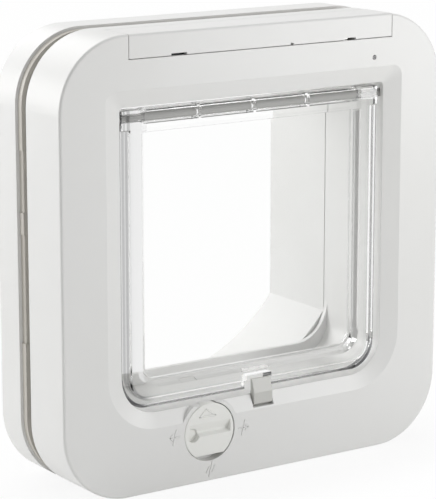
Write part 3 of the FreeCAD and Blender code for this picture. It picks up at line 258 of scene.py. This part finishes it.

# %% [markdown]
# The shells are injection moulded in an off-white plastic. The mould is spark eroded, which leaves a
# very fine even grain that takes the shine off, and the edges come out of the mould with a small
# radius. Over a large face the colour drifts very slightly. So the finish is a pale base colour with
# a faint broad noise, a fine grain in the bump, and normals that round the edges by less than half a
# millimetre. Two places get painted shade, a darker and warmer colour: the faces between the two
# frames, where the door panel goes, and the seat under the knob. A mask made from X, Y and Z finds
# each of them.

# %% A moulded skin
# Painted shade: the darker, warmer colour of recesses and gaps between parts, where shade falls.
SHELL_SHADE = (0.54, 0.515, 0.465)
DRIFT_SIZE = 0.08
GRAIN_DEPTH = 0.00002
GRAIN_STRENGTH = 0.5


def moulded(name, colour, warm, roughness, grain=0.0007, edge=0.0004, shade_mask=None):
    """An even moulded skin. The optional mask works out from X, Y and Z where it is darker and warmer, as
    painted shade.
    """
    finish = Finish(name, colour, roughness, IOR=1.5)
    drift = finish.noise(DRIFT_SIZE, detail=2.0)
    fine = finish.noise(grain, detail=2.0)
    tone = finish.blend(drift.smooth(0.35, 0.75), colour, warm)
    # Painted shade: where the mask is 1, the tone turns to the darker, warmer shade colour.
    if shade_mask:
        tone = finish.blend(shade_mask(*finish.axes()), tone, SHELL_SHADE)
    finish.set("Base Color", tone)
    finish.set("Roughness", fine * 0.08 + (roughness - 0.04))
    finish.set("Normal", finish.bump(fine, GRAIN_DEPTH, GRAIN_STRENGTH, finish.soft_edges(edge)))
    return finish.material


# This colour is painted shade for recesses and gaps between parts.
print("aged plastic:", SHELL_SHADE)

# %% Off-white shell plastic
SHELL_COLOUR = (0.790, 0.790, 0.780)
SHELL_WARM = (0.772, 0.771, 0.757)
SHELL_ROUGHNESS = 0.38
PANEL_GAP = (0.0002, 0.0095)
TUNNEL_SKIN = 0.0765
MASK_STEP = 0.0004
KNOB_X = -0.0276
KNOB_Z = -0.0812
SEAT_SQUARED = (0.000150, 0.000160)
SEAT_DEPTH = (0.0006, 0.0010)
FACE_Y = cad_box[0][1]


# The two masks below say where the shells take painted shade: the gap between the frames and the seat
# under the knob.
def in_panel_gap(x, y, z):
    """1 on the surfaces that lie between the two frames, where the door panel goes."""
    outer = abs(x).at_least(abs(z)).smooth(TUNNEL_SKIN - MASK_STEP, TUNNEL_SKIN)
    return outer * y.between(*PANEL_GAP, MASK_STEP)


def under_knob(x, y, z):
    """1 in the seat of the knob, below the face."""
    across = x - KNOB_X
    up = z - KNOB_Z
    beyond = (across * across + up * up).smooth(*SEAT_SQUARED)
    return (1 - beyond) * y.smooth(FACE_Y + SEAT_DEPTH[0], FACE_Y + SEAT_DEPTH[1])


def shell(name, shade_mask=None):
    return moulded(name, SHELL_COLOUR, SHELL_WARM, SHELL_ROUGHNESS, shade_mask=shade_mask)


shell_plastic = shell("shell_plastic")
cover_plastic = shell("cover_plastic", shade_mask=under_knob)
frame_plastic = shell("frame_plastic", shade_mask=in_panel_gap)
print("shell colour:", SHELL_COLOUR)

# %% [markdown]
# The other mouldings have the same kind of skin in their own colours. The walls behind the outdoor
# frame's rim are in the shade, and their darker, warmer colour is painted shade; the battery tray is a
# plain grey white, the knob is the palest part, the latch is a hard grey plastic, and the gears are a
# natural, slightly yellow one.

# %% Other moulded plastics
wall_plastic = moulded("wall_plastic", SHELL_SHADE, (0.52, 0.495, 0.445), 0.5)
inner_plastic = moulded("inner_plastic", (0.66, 0.66, 0.62), (0.62, 0.62, 0.58), 0.5)
knob_plastic = moulded("knob_plastic", (0.850, 0.852, 0.825), (0.830, 0.832, 0.802), 0.42, edge=0.0003)
latch_plastic = moulded("hard_plastic", (0.56, 0.56, 0.535), (0.53, 0.53, 0.50), 0.38, edge=0.0003)
gear_plastic = moulded("gear_plastic", (0.78, 0.76, 0.66), (0.74, 0.71, 0.60), 0.35, edge=0.0001)
plastics = [material.name for material in bpy.data.materials if "plastic" in material.name]
print("plastics:", ", ".join(plastics))

# %% [markdown]
# The flap is one clear polycarbonate moulding. Its thick rim is painted greyer than the pane, a painted
# shade that stands in for the dark refractions of a real rim: most on the outer edge, less on the
# bead's step, the window's slope and the walls of the notch for the latch. How far a point lies from
# the flap's outline tells which of these it is on. The left side counts in full and the other sides a
# quarter, as in the photo.

# %% Painted shade on the flap's rim
flap_low, flap_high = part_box("flap")
FLAP_HALF = flap_high[0]
FLAP_BOTTOM = flap_low[2]
EDGE_ROUND = 0.0163
OUTER_EDGE = (0.0002, 0.0005)
FLANGE = (0.0036, 0.0076)
BEAD_STEP = (0.0024, 0.0046)
BEAD_SOFT = 0.0006
SLOPE = (0.0102, 0.0132)
LEFT_SIDE = (0.050, 0.060)
LATCH_X = 0.0030
NOTCH_HALF = 0.0070
NOTCH_TOP = FLAP_BOTTOM + 0.0068
PAST_WALL = (0.0001, 0.0003)


def inset_from_outline(x, z):
    """How far a point of the flap is from its outline, in metres."""
    beside = (abs(x) - FLAP_HALF + EDGE_ROUND).at_least(0.0)
    below = (FLAP_BOTTOM + EDGE_ROUND - z).at_least(0.0)
    return EDGE_ROUND - (beside * beside + below * below).root()


def on_slope(inset):
    """1 on the slope down to the window."""
    return inset.between(*SLOPE, MASK_STEP)


def on_notch(x, z):
    """1 on the walls of the notch for the latch."""
    inner, outer = PAST_WALL
    within = 1 - abs(x - LATCH_X).smooth(NOTCH_HALF + inner, NOTCH_HALF + outer)
    return within * (1 - z.smooth(NOTCH_TOP + inner, NOTCH_TOP + outer))


def painted_rim_shade(x, z, inset):
    """The share of painted shade on the rim, heavier on the left side."""
    edge = 1 - inset.smooth(*OUTER_EDGE)
    flange = 1 - inset.smooth(*FLANGE)
    rim = 1 - inset.smooth(SLOPE[0], SLOPE[0] + MASK_STEP)
    step = inset.between(*BEAD_STEP, BEAD_SOFT)
    bands = rim * 0.16 + flange * 0.10 + step * 0.46 + on_slope(inset) * 0.40
    sides = (-x).smooth(*LEFT_SIDE) * 0.75 + 0.25
    return ((edge + bands * sides).clamp() + on_notch(x, z) * 0.20).clamp()


print("flap half width:", round(FLAP_HALF, 4), "notch top at z =", round(NOTCH_TOP, 4))

# %% [markdown]
# Clear plastic bends light, so it is shaded as a solid body with a faint tint and a few scuffs. Real
# light falls through the flap onto the tunnel behind, which a path tracer finds only by luck. The
# finish therefore lets shadow rays and diffuse rays pass almost freely. On the window's slope a share
# of every ray also goes straight through, because so steep a face would otherwise show the floor in
# front of the flap. The light pipe and the status light are the same plastic, dark and red.

# %% Clear plastic
CLEAR_TINT = (0.988, 0.991, 0.988)
# The dark colour painted on the flap's rim as painted shade.
EDGE_SHADE = (0.08, 0.08, 0.084)
SCUFF_SIZE = 0.012
STRAIGHT_ON_SLOPE = 0.6


def clear(name, tint, roughness, shadow, rimmed=False):
    """Clear plastic that lets a `shadow` share of light through to what lies behind."""
    finish = Finish(name, tint, roughness, IOR=1.49, Transmission_Weight=1.0)
    scuffs = finish.noise(SCUFF_SIZE, detail=6.0, stretch=(1.0, 1.0, 3.0))
    finish.set("Roughness", scuffs.smooth(0.55, 0.8) * 0.03 + roughness)
    passing = finish.rays("Is Shadow Ray", "Is Diffuse Ray") * shadow
    if rimmed:
        x, _, z = finish.axes()
        inset = inset_from_outline(x, z)
        # Painted shade: the rim's colour turns towards the dark edge colour, in place of its dark
        # refractions.
        finish.set("Base Color", finish.blend(painted_rim_shade(x, z, inset), tint, EDGE_SHADE))
        passing = passing * (inset.smooth(SLOPE[0] - MASK_STEP, SLOPE[0]) * 0.10 + 0.90)
        straight = on_slope(inset) * STRAIGHT_ON_SLOPE
        passing = (passing + straight * (1 - passing)).clamp()
    through = finish.node("ShaderNodeBsdfTransparent")
    finish.surface(finish.mix_shaders(passing, finish.skin, through))
    return finish.material


clear_plastic = clear("clear_plastic", CLEAR_TINT, 0.01, shadow=0.96, rimmed=True)
pipe_clear = clear("pipe_clear", (0.16, 0.16, 0.16), 0.2, shadow=0.0)
lamp_clear = clear("lamp_clear", (0.80, 0.25, 0.20), 0.08, shadow=0.3)
print("clear tint:", CLEAR_TINT, "at the edge:", EDGE_SHADE)

# %% [markdown]
# Steel parts are drawn, zinc plated or nickel plated. Drawn rod has fine lines along its length, so
# its noise is stretched along X. Plated screws have a mottled, slightly matt skin. The hinge rod is
# seen through the flap's ribs as a plain grey bar, so it has a flat matt grey skin and not a bright
# one: painted shade for the dark housing seen behind the ribs.

# %% Metals
DRAWN_LINES = 0.0006
DULL = 0.78


def metal(name, colour, roughness, stretch=(1.0, 1.0, 1.0)):
    """A metal with fine lines or mottling in its colour, gloss and height."""
    finish = Finish(name, colour, roughness, Metallic=1.0)
    lines = finish.noise(DRAWN_LINES, detail=4.0, stretch=stretch)
    dull = tuple(part * DULL for part in colour)
    finish.set("Base Color", finish.blend(lines.smooth(0.3, 0.7), colour, dull))
    finish.set("Roughness", lines * 0.2 + (roughness - 0.1))
    finish.set("Normal", finish.bump(lines, 0.00001, 0.4))
    return finish.material


rod_steel = metal("steel_rod", (0.40, 0.40, 0.39), 0.62, stretch=(30.0, 1.0, 1.0))
# Painted shade: a flat matt grey for the hinge rod, in place of bright steel.
rod_skin = moulded(
    "rod_skin", (0.430, 0.430, 0.420), (0.390, 0.390, 0.380), 0.75, grain=0.0009, edge=0.0001)
screw_steel = metal("screw_steel", (0.60, 0.60, 0.59), 0.34)
spring_steel = metal("spring_steel", (0.66, 0.65, 0.62), 0.26)
contact_sheet = metal("contact_sheet", (0.70, 0.68, 0.63), 0.30, stretch=(1.0, 1.0, 12.0))
motor_steel = metal("motor_steel", (0.58, 0.58, 0.57), 0.30, stretch=(1.0, 12.0, 1.0))
print("drawn lines:", DRAWN_LINES * 1000, "mm")

# %% [markdown]
# A battery cell is a steel can in a printed sleeve. The sleeve stops just short of both ends, so the
# bare metal shows as a ring and as the nib. The finish decides by the distance from the middle of
# the can along X, measured from each cell's own middle.

# %% Battery cells
CELLS = range(1, 5)
SLEEVE_END = (0.0026, 0.0024)
BAND_START = (0.42, 0.43)


def battery_cell(name, low, high):
    """A can between two places along X, with a coloured band near one end."""
    finish = Finish(name, (0.02, 0.02, 0.022), 0.3)
    x, _, _ = finish.axes()
    half = (high - low) / 2
    along = x - (low + high) / 2
    bare = abs(along).smooth(half - SLEEVE_END[0], half - SLEEVE_END[1])
    band = along.smooth(half * BAND_START[0], half * BAND_START[1])
    sleeve = finish.blend(band, (0.018, 0.020, 0.024), (0.30, 0.12, 0.03))
    finish.set("Base Color", finish.blend(bare, sleeve, (0.62, 0.62, 0.60)))
    finish.set("Metallic", bare)
    finish.set("Roughness", bare * 0.06 + 0.26)
    finish.set("Normal", finish.bump(bare, -0.0001))
    return finish.material


def dress(name, material):
    """Give a solid of the frame its finish."""
    slots = nodes[name].data.materials
    slots.clear()
    slots.append(material)


for number in CELLS:
    low_corner, high_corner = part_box(f"battery_cell_{number}")
    dress(f"battery_cell_{number}", battery_cell(f"cell_wrap_{number}", low_corner[0], high_corner[0]))
print("cells dressed:", len(CELLS))

# %% [markdown]
# Circuit boards are glass cloth in resin under green solder mask. The weave shows faintly, and copper
# tracks show as slightly raised lines. Straight tracks are easy to draw with a sine wave along X that
# a broad noise switches on and off.

# %% Circuit boards
WEAVE_SCALE = 1100.0
TRACK_WAVES = 2600.0


def board(name):
    """Green solder mask over copper tracks and a woven core."""
    finish = Finish(name, (0.012, 0.095, 0.045), 0.32, Coat_Weight=0.3)
    x, _, _ = finish.axes()
    settings = {"feature": "F1", "distance": "CHEBYCHEV"}
    weave = finish.node("ShaderNodeTexVoronoi", settings, {"Vector": finish.place(), "Scale": WEAVE_SCALE})
    lanes = (x * TRACK_WAVES).sine()
    rows = finish.noise(0.006, detail=1.0).smooth(0.49, 0.52)
    tracks = lanes.smooth(0.2, 0.5) * rows
    finish.set("Base Color", finish.blend(tracks, (0.010, 0.085, 0.040), (0.020, 0.15, 0.06)))
    finish.set("Normal", finish.bump(tracks * 0.7 + weave * 0.3, 0.00003))
    return finish.material


board_green = board("board_green")
print("track spacing:", round(2 * math.pi / TRACK_WAVES * 1000, 2), "mm")

# %% [markdown]
# The parts on the boards and the switch are black plastic with a very fine grain. The button is red,
# so that it is found at once under the lid.

# %% Small plastic parts
FINE = {"grain": 0.0003, "edge": 0.0001}

chip_black = moulded("chip_black", (0.016, 0.016, 0.017), (0.024, 0.024, 0.024), 0.42, **FINE)
switch_black = moulded("switch_black", (0.020, 0.020, 0.020), (0.028, 0.028, 0.028), 0.45, **FINE)
button_red = moulded("button_red", (0.36, 0.015, 0.012), (0.30, 0.012, 0.010), 0.35, edge=0.0003)
print("fine grain:", FINE["grain"] * 1000, "mm")

# %% [markdown]
# The reader coil is a few dozen turns of enamelled copper wire. The turns run round the tunnel, so
# across the winding they are stripes. A sine over the depth Y gives the round backs of the wires, and
# the grooves between turns are painted darker, as painted shade.

# %% Copper winding
WIRE = 0.00032
COPPER_GROOVE_SHADE = (0.10, 0.03, 0.012)
COPPER_LIGHT = (0.48, 0.16, 0.05)

coil_finish = Finish("coil_copper", (0.42, 0.13, 0.045), 0.28, Metallic=0.85, Coat_Weight=0.5)
_, coil_y, _ = coil_finish.axes()
turns = (coil_y * (2 * math.pi / WIRE)).sine()
# Painted shade: the colour turns dark in the grooves between the turns.
coil_finish.set("Base Color", coil_finish.blend(turns.smooth(-0.9, 0.2), COPPER_GROOVE_SHADE, COPPER_LIGHT))
coil_finish.set("Normal", coil_finish.bump(turns, 0.00008))
coil_copper = coil_finish.material
print("wire:", WIRE * 1000, "mm")

# %% [markdown]
# The solids keep their shapes and take these finishes. A solid's material sits in the slots of its
# mesh, so dressing one is a matter of clearing the slots and adding the new material.

# %% Dress the solids
DRESS = {
    shell_plastic: ("battery_lid", "screw_caps", "lock_bolt"),
    cover_plastic: ("front_cover",),
    frame_plastic: ("rear_housing", "outdoor_frame"),
    inner_plastic: ("battery_tray",),
    knob_plastic: ("lock_knob",),
    latch_plastic: ("latch",),
    gear_plastic: ("motor_pinion", "lock_cam"),
    clear_plastic: ("flap",),
    pipe_clear: ("light_pipe",),
    lamp_clear: ("status_light",),
    rod_skin: ("hinge_rod",),
    rod_steel: ("motor_shaft",),
    screw_steel: ("panel_screws", "cover_screws", "knob_screw"),
    contact_sheet: ("battery_contacts",),
    motor_steel: ("latch_motor",),
    board_green: ("light_board", "control_board"),
    chip_black: ("board_parts",),
    switch_black: ("button_switch",),
    button_red: ("pairing_button",),
    coil_copper: ("reader_coil",),
}
for material, names in DRESS.items():
    for name in names:
        dress(name, material)
print("dressed:", sum(len(names) for names in DRESS.values()), "nodes")

# %% [markdown]
# The contact springs are cones in the solid model. A real one is a wire wound in a cone, wide at the
# wall and narrow at the cell. A curve does this well: its points follow a widening circle, and its
# bevel gives the wire.

# %% Contact springs
SPRING_WIRE = 0.0003
SPRING_TURNS = 5
SPRING_NARROW = 0.0020
SPRING_FLARE = 0.0018
POINTS_PER_TURN = 16


def spring_points(cell_end, wall, y, z):
    """Points on a widening coil from the end of a cell to the wall."""
    steps = SPRING_TURNS * POINTS_PER_TURN
    points = []
    for step in range(steps + 1):
        share = step / steps
        angle = 2 * math.pi * SPRING_TURNS * share
        radius = SPRING_NARROW + SPRING_FLARE * share
        along = cell_end + (wall - cell_end) * share
        points.append((along, y + radius * math.cos(angle), z + radius * math.sin(angle)))
    return points


def wire_mesh(name, paths, thickness):
    """Round wires along lists of points, as one mesh."""
    curve = bpy.data.curves.new(name, "CURVE")
    curve.dimensions = "3D"
    curve.bevel_depth = thickness
    curve.bevel_resolution = 2
    curve.use_fill_caps = True
    for path in paths:
        spline = curve.splines.new("POLY")
        spline.points.add(len(path) - 1)
        for point, spot in zip(spline.points, path):
            point.co = (*spot, 1.0)
    source = bpy.data.objects.new(f"{name}_path", curve)
    bpy.context.collection.objects.link(source)
    mesh = bpy.data.meshes.new_from_object(source.evaluated_get(bpy.context.evaluated_depsgraph_get()))
    bpy.data.objects.remove(source)
    mesh.name = name
    mesh.polygons.foreach_set("use_smooth", [True] * len(mesh.polygons))
    return mesh


def new_object(name, mesh, material):
    """A mesh as an object in the scene."""
    mesh.materials.clear()
    mesh.materials.append(material)
    made = bpy.data.objects.new(name, mesh)
    bpy.context.collection.objects.link(made)
    return made


def new_piece(name, mesh, material, body):
    """An object that rides on a body."""
    piece = new_object(name, mesh, material)
    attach(piece, body)
    return piece


spring_low, spring_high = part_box("battery_springs")
coils = []
for number in CELLS:
    low_corner, high_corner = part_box(f"battery_cell_{number}")
    y = (low_corner[1] + high_corner[1]) / 2
    z = (low_corner[2] + high_corner[2]) / 2
    side = 1 if high_corner[0] > 0 else -1
    cell_end = high_corner[0] if side > 0 else low_corner[0]
    wall = spring_high[0] if side > 0 else spring_low[0]
    coils.append(spring_points(cell_end + side * SPRING_WIRE, wall - side * SPRING_WIRE, y, z))
spring_mesh = wire_mesh("contact_springs", coils, SPRING_WIRE)
springs = new_piece("contact_springs", spring_mesh, spring_steel, "housing")
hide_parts("battery_springs")
print("spring wires:", len(coils))

# %% [markdown]
# The rim of the outdoor frame has a long gap on each side, with a tab in the middle. On the real
# frame a thin wall stands just inside, so the gap looks like a shallow panel and not like a hole.
# Two strips do this: each is an extruded outline with a small foot that leans on the frame.

# %% Walls behind the rim's side gaps
STRIP_Z = (-0.0375, 0.0535)
STRIP_Y = (0.0061, 0.0096)
STRIP_OUTER = 0.1033
STRIP_WALL = 0.0024
STRIP_CHAMFER = (0.0002, 0.0003)
FOOT_REACH = 0.0012
FOOT_BACK = 0.0006
FOOT_FRONT = 0.0009


def strip(mesh, side):
    """One wall with chamfered long edges and a foot at its inner end."""
    low, high = STRIP_Y
    outer, inner = STRIP_OUTER, STRIP_OUTER - STRIP_WALL
    across, deep = STRIP_CHAMFER
    foot = inner - FOOT_REACH
    profile = [(outer - across, low), (outer, low + deep), (outer, high), (foot, high),
               (foot, high - FOOT_BACK), (inner, high - FOOT_FRONT),
               (inner, low + deep), (inner + across, low)]
    rings = [[mesh.verts.new((side * x, y, z)) for x, y in profile] for z in STRIP_Z]
    join_rings(mesh, rings)


def join_rings(mesh, rings):
    """Close a stack of equal rings of points with faces between them and at both ends."""
    count = len(rings[0])
    for lower, upper in zip(rings, rings[1:]):
        for index in range(count):
            after = (index + 1) % count
            mesh.faces.new((lower[index], lower[after], upper[after], upper[index]))
    mesh.faces.new(rings[-1])
    mesh.faces.new(list(reversed(rings[0])))


def finished(name, mesh):
    """The bmesh geometry as mesh data, with all faces turned outwards."""
    bmesh.ops.recalc_face_normals(mesh, faces=mesh.faces)
    data = bpy.data.meshes.new(name)
    mesh.to_mesh(data)
    mesh.free()
    return data


strips = bmesh.new()
for side in (-1, 1):
    strip(strips, side)
strip_mesh = finished("rim_walls", strips)
# The walls take the painted-shade colour of the gap behind the rim.
new_piece("rim_walls", strip_mesh, wall_plastic, "housing")
print("rim walls:", len(strip_mesh.polygons), "faces")

# %% [markdown]
# Round the knob the cover has small raised marks that tell what each position does. They are plain
# arrows and a bar here. Each mark is a few strokes: flat ribbons with rounded ends that stand a
# fraction of a millimetre on the face, built with bmesh as one outline and a sloping side.

# %% Strokes
MM = 0.001
STROKE = 0.00032
RELIEF = 0.00016
SLOPED_SIDE = ((1.5, 0.0), (1.0, 0.8), (0.7, 1.0))
ROUND_STEPS = 6


def add_stroke(mesh, start, end, face):
    """A rounded ribbon between two points of the face, with sloping sides."""
    along = (Vector(end) - Vector(start)).normalized()
    across = Vector((-along.y, along.x))
    rim = []
    for centre, turn in ((Vector(end), 0), (Vector(start), 1)):
        for step in range(ROUND_STEPS + 1):
            angle = math.pi * (step / ROUND_STEPS - 0.5) + math.pi * turn
            rim.append((centre, along * math.cos(angle) + across * math.sin(angle)))
    rings = []
    for spread, rise in SLOPED_SIDE:
        spots = [centre + way * STROKE * spread for centre, way in rim]
        rings.append([mesh.verts.new((spot.x, face - RELIEF * rise, spot.y)) for spot in spots])
    join_rings(mesh, rings)


def add_mark(name, centre, strokes, body, material, face=FACE_Y):
    """A mark of several strokes, given in millimetres from its centre."""
    mesh = bmesh.new()
    for stroke in strokes:
        start, end = [(centre[0] + across * MM, centre[1] + up * MM) for across, up in stroke]
        add_stroke(mesh, start, end, face)
    return new_piece(name, finished(name, mesh), material, body)


print("stroke width:", STROKE / MM * 2, "mm")

# %% Raised marks
LEANING_POST = ((-0.9, -3.3), (0.9, 3.3))


def arrow(way):
    """A leaning post with an arrow through it that points to one side."""
    tip = 2.5 * way
    head = tip * 0.5
    return [LEANING_POST, ((-tip, 0.0), (tip, 0.0)), ((tip, 0.0), (head, 1.2)), ((tip, 0.0), (head, -1.2))]


BARRED = [LEANING_POST, ((-2.3, -1.4), (-0.7, 1.2)), ((0.9, -1.4), (2.3, 1.2))]
APEX, LEFT, RIGHT = (-1.6, 10.9), (-5.3, 7.5), (3.3, 7.5)
POINTER = [(APEX, LEFT), (LEFT, RIGHT), (RIGHT, APEX)]
MARKS = {
    "mark_left": ((KNOB_X - 0.0191, KNOB_Z + 0.0004), arrow(-1)),
    "mark_right": ((KNOB_X + 0.0189, KNOB_Z - 0.0012), arrow(1)),
    "mark_below": ((KNOB_X + 0.0006, KNOB_Z - 0.0180), BARRED),
}
for name, (centre, strokes) in MARKS.items():
    add_mark(name, centre, strokes, "housing", shell_plastic)
knob_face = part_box("lock_knob")[0][1]
add_mark("knob_pointer", (KNOB_X, KNOB_Z), POINTER, "knob", knob_plastic, face=knob_face)
print("marks:", len(MARKS) + 1, "on the face at y =", round(FACE_Y, 4))

# %% [markdown]
# The studio has a pale floor that runs on to the horizon. A floor lit by lamps alone turns grey far
# away, so rays from the camera see it as white with the lamps' shadow mixed in near the object. The
# same rays, and those mirrored by or passing through a piece, see a white world.

# %% Floor
WHITE = (1.0, 1.0, 1.0, 1.0)
SEEN = ("Is Camera Ray", "Is Glossy Ray", "Is Transmission Ray")
SHADE_REACH = (0.15, 0.065)
WHITE_NEAR = 0.89
WHITE_GAIN = 0.10
FLOOR_RADIUS = 14.0
FLOOR_GAP = 0.0002

floor_finish = Finish("studio_floor", (0.92, 0.92, 0.91), 0.9)
floor_x, floor_y, _ = floor_finish.axes()
reach_x = floor_x * (1 / SHADE_REACH[0])
reach_y = floor_y * (1 / SHADE_REACH[1])
away = (reach_x * reach_x + reach_y * reach_y).smooth(0.5, 2.0)
share = (away * WHITE_GAIN + WHITE_NEAR) * floor_finish.rays(*SEEN)
bare_white = floor_finish.node("ShaderNodeEmission", sockets={"Color": WHITE, "Strength": 1.0})
floor_finish.surface(floor_finish.mix_shaders(share, floor_finish.skin, bare_white))

disc = bmesh.new()
bmesh.ops.create_circle(disc, cap_ends=True, radius=FLOOR_RADIUS, segments=96)
floor_mesh = bpy.data.meshes.new("studio_floor")
disc.to_mesh(floor_mesh)
disc.free()
floor = new_object("studio_floor", floor_mesh, floor_finish.material)
floor.location = (0.0, 0.0, cad_box[0][2] - FLOOR_GAP)
print("floor at z =", round(floor.location.z, 4))

# %% Backdrop
AMBIENT = 0.4

world = bpy.data.worlds.new("studio")
sky = Tree(world)
ambient = sky.node("ShaderNodeBackground", sockets={"Color": WHITE, "Strength": AMBIENT})
backdrop = sky.node("ShaderNodeBackground", sockets={"Color": WHITE, "Strength": 1.0})
sky_mix = sky.mix_shaders(sky.rays(*SEEN), ambient, backdrop)
sky.node("ShaderNodeOutputWorld", sockets={"Surface": sky_mix})
bpy.context.scene.world = world
print("ambient light:", AMBIENT)

# %% [markdown]
# Four soft lamps light the flap. The main one stands near the object at the front right, so the
# face gets brighter towards the right. One at the left rear lights the side of the housing and, from
# behind, the right wall of the tunnel. A wide one above keeps the upper faces bright. The last one,
# high behind the object, lights the top of the outdoor frame and the far rim of the tunnel. Light
# that bends through a clear piece never ends on a lamp, because the flap's thick rim would then show
# bright patches where the real one shows none.

# %% Lamps
TARGET = Vector((-0.023, -0.029, 0.004))
LAMPS = {
    "main_lamp": ((0.46, -0.56, 0.10), 0.28, 1.85),
    "side_lamp": ((-0.84, 0.80, 0.26), 0.6, 6.2),
    "top_lamp": ((0.1, 0.2, 1.2), 0.9, 4.3),
    "rear_lamp": ((-0.1, 0.9, 0.8), 0.8, 4.0),
}

for name, (place, size, power) in LAMPS.items():
    light = bpy.data.lights.new(name, "AREA")
    light.shape = "SQUARE"
    light.size = size
    light.energy = power
    stand = bpy.data.objects.new(name, light)
    stand.location = place
    stand.visible_transmission = False
    stand.rotation_euler = (TARGET - Vector(place)).to_track_quat("-Z", "Y").to_euler()
    bpy.context.collection.objects.link(stand)
print("lamps:", ", ".join(LAMPS))

# %% [markdown]
# The picture was taken from the left and a little above with a long lens. The camera is placed by
# its two angles and its distance from a point on the front face.

# %% Camera
AZIMUTH = math.radians(-34.2)
ELEVATION = math.radians(12.4)
DISTANCE = 1.040
FOCAL_PIXELS = 2295.0
IMAGE_HEIGHT = 499
SENSOR_WIDTH = 36.0

camera_data = bpy.data.cameras.new("camera")
camera_data.sensor_width = SENSOR_WIDTH
camera_data.lens = FOCAL_PIXELS / IMAGE_HEIGHT * SENSOR_WIDTH
camera_data.clip_start = 0.05
camera_data.clip_end = 60.0
camera = bpy.data.objects.new("camera", camera_data)
flat = DISTANCE * math.cos(ELEVATION)
offset = Vector((math.sin(AZIMUTH) * flat, -math.cos(AZIMUTH) * flat, DISTANCE * math.sin(ELEVATION)))
camera.location = TARGET + offset
camera.rotation_euler = (-offset).to_track_quat("-Z", "Y").to_euler()
bpy.context.collection.objects.link(camera)
bpy.context.scene.camera = camera
bpy.context.scene.view_settings.view_transform = "Standard"
print("lens:", round(camera_data.lens, 1), "mm")
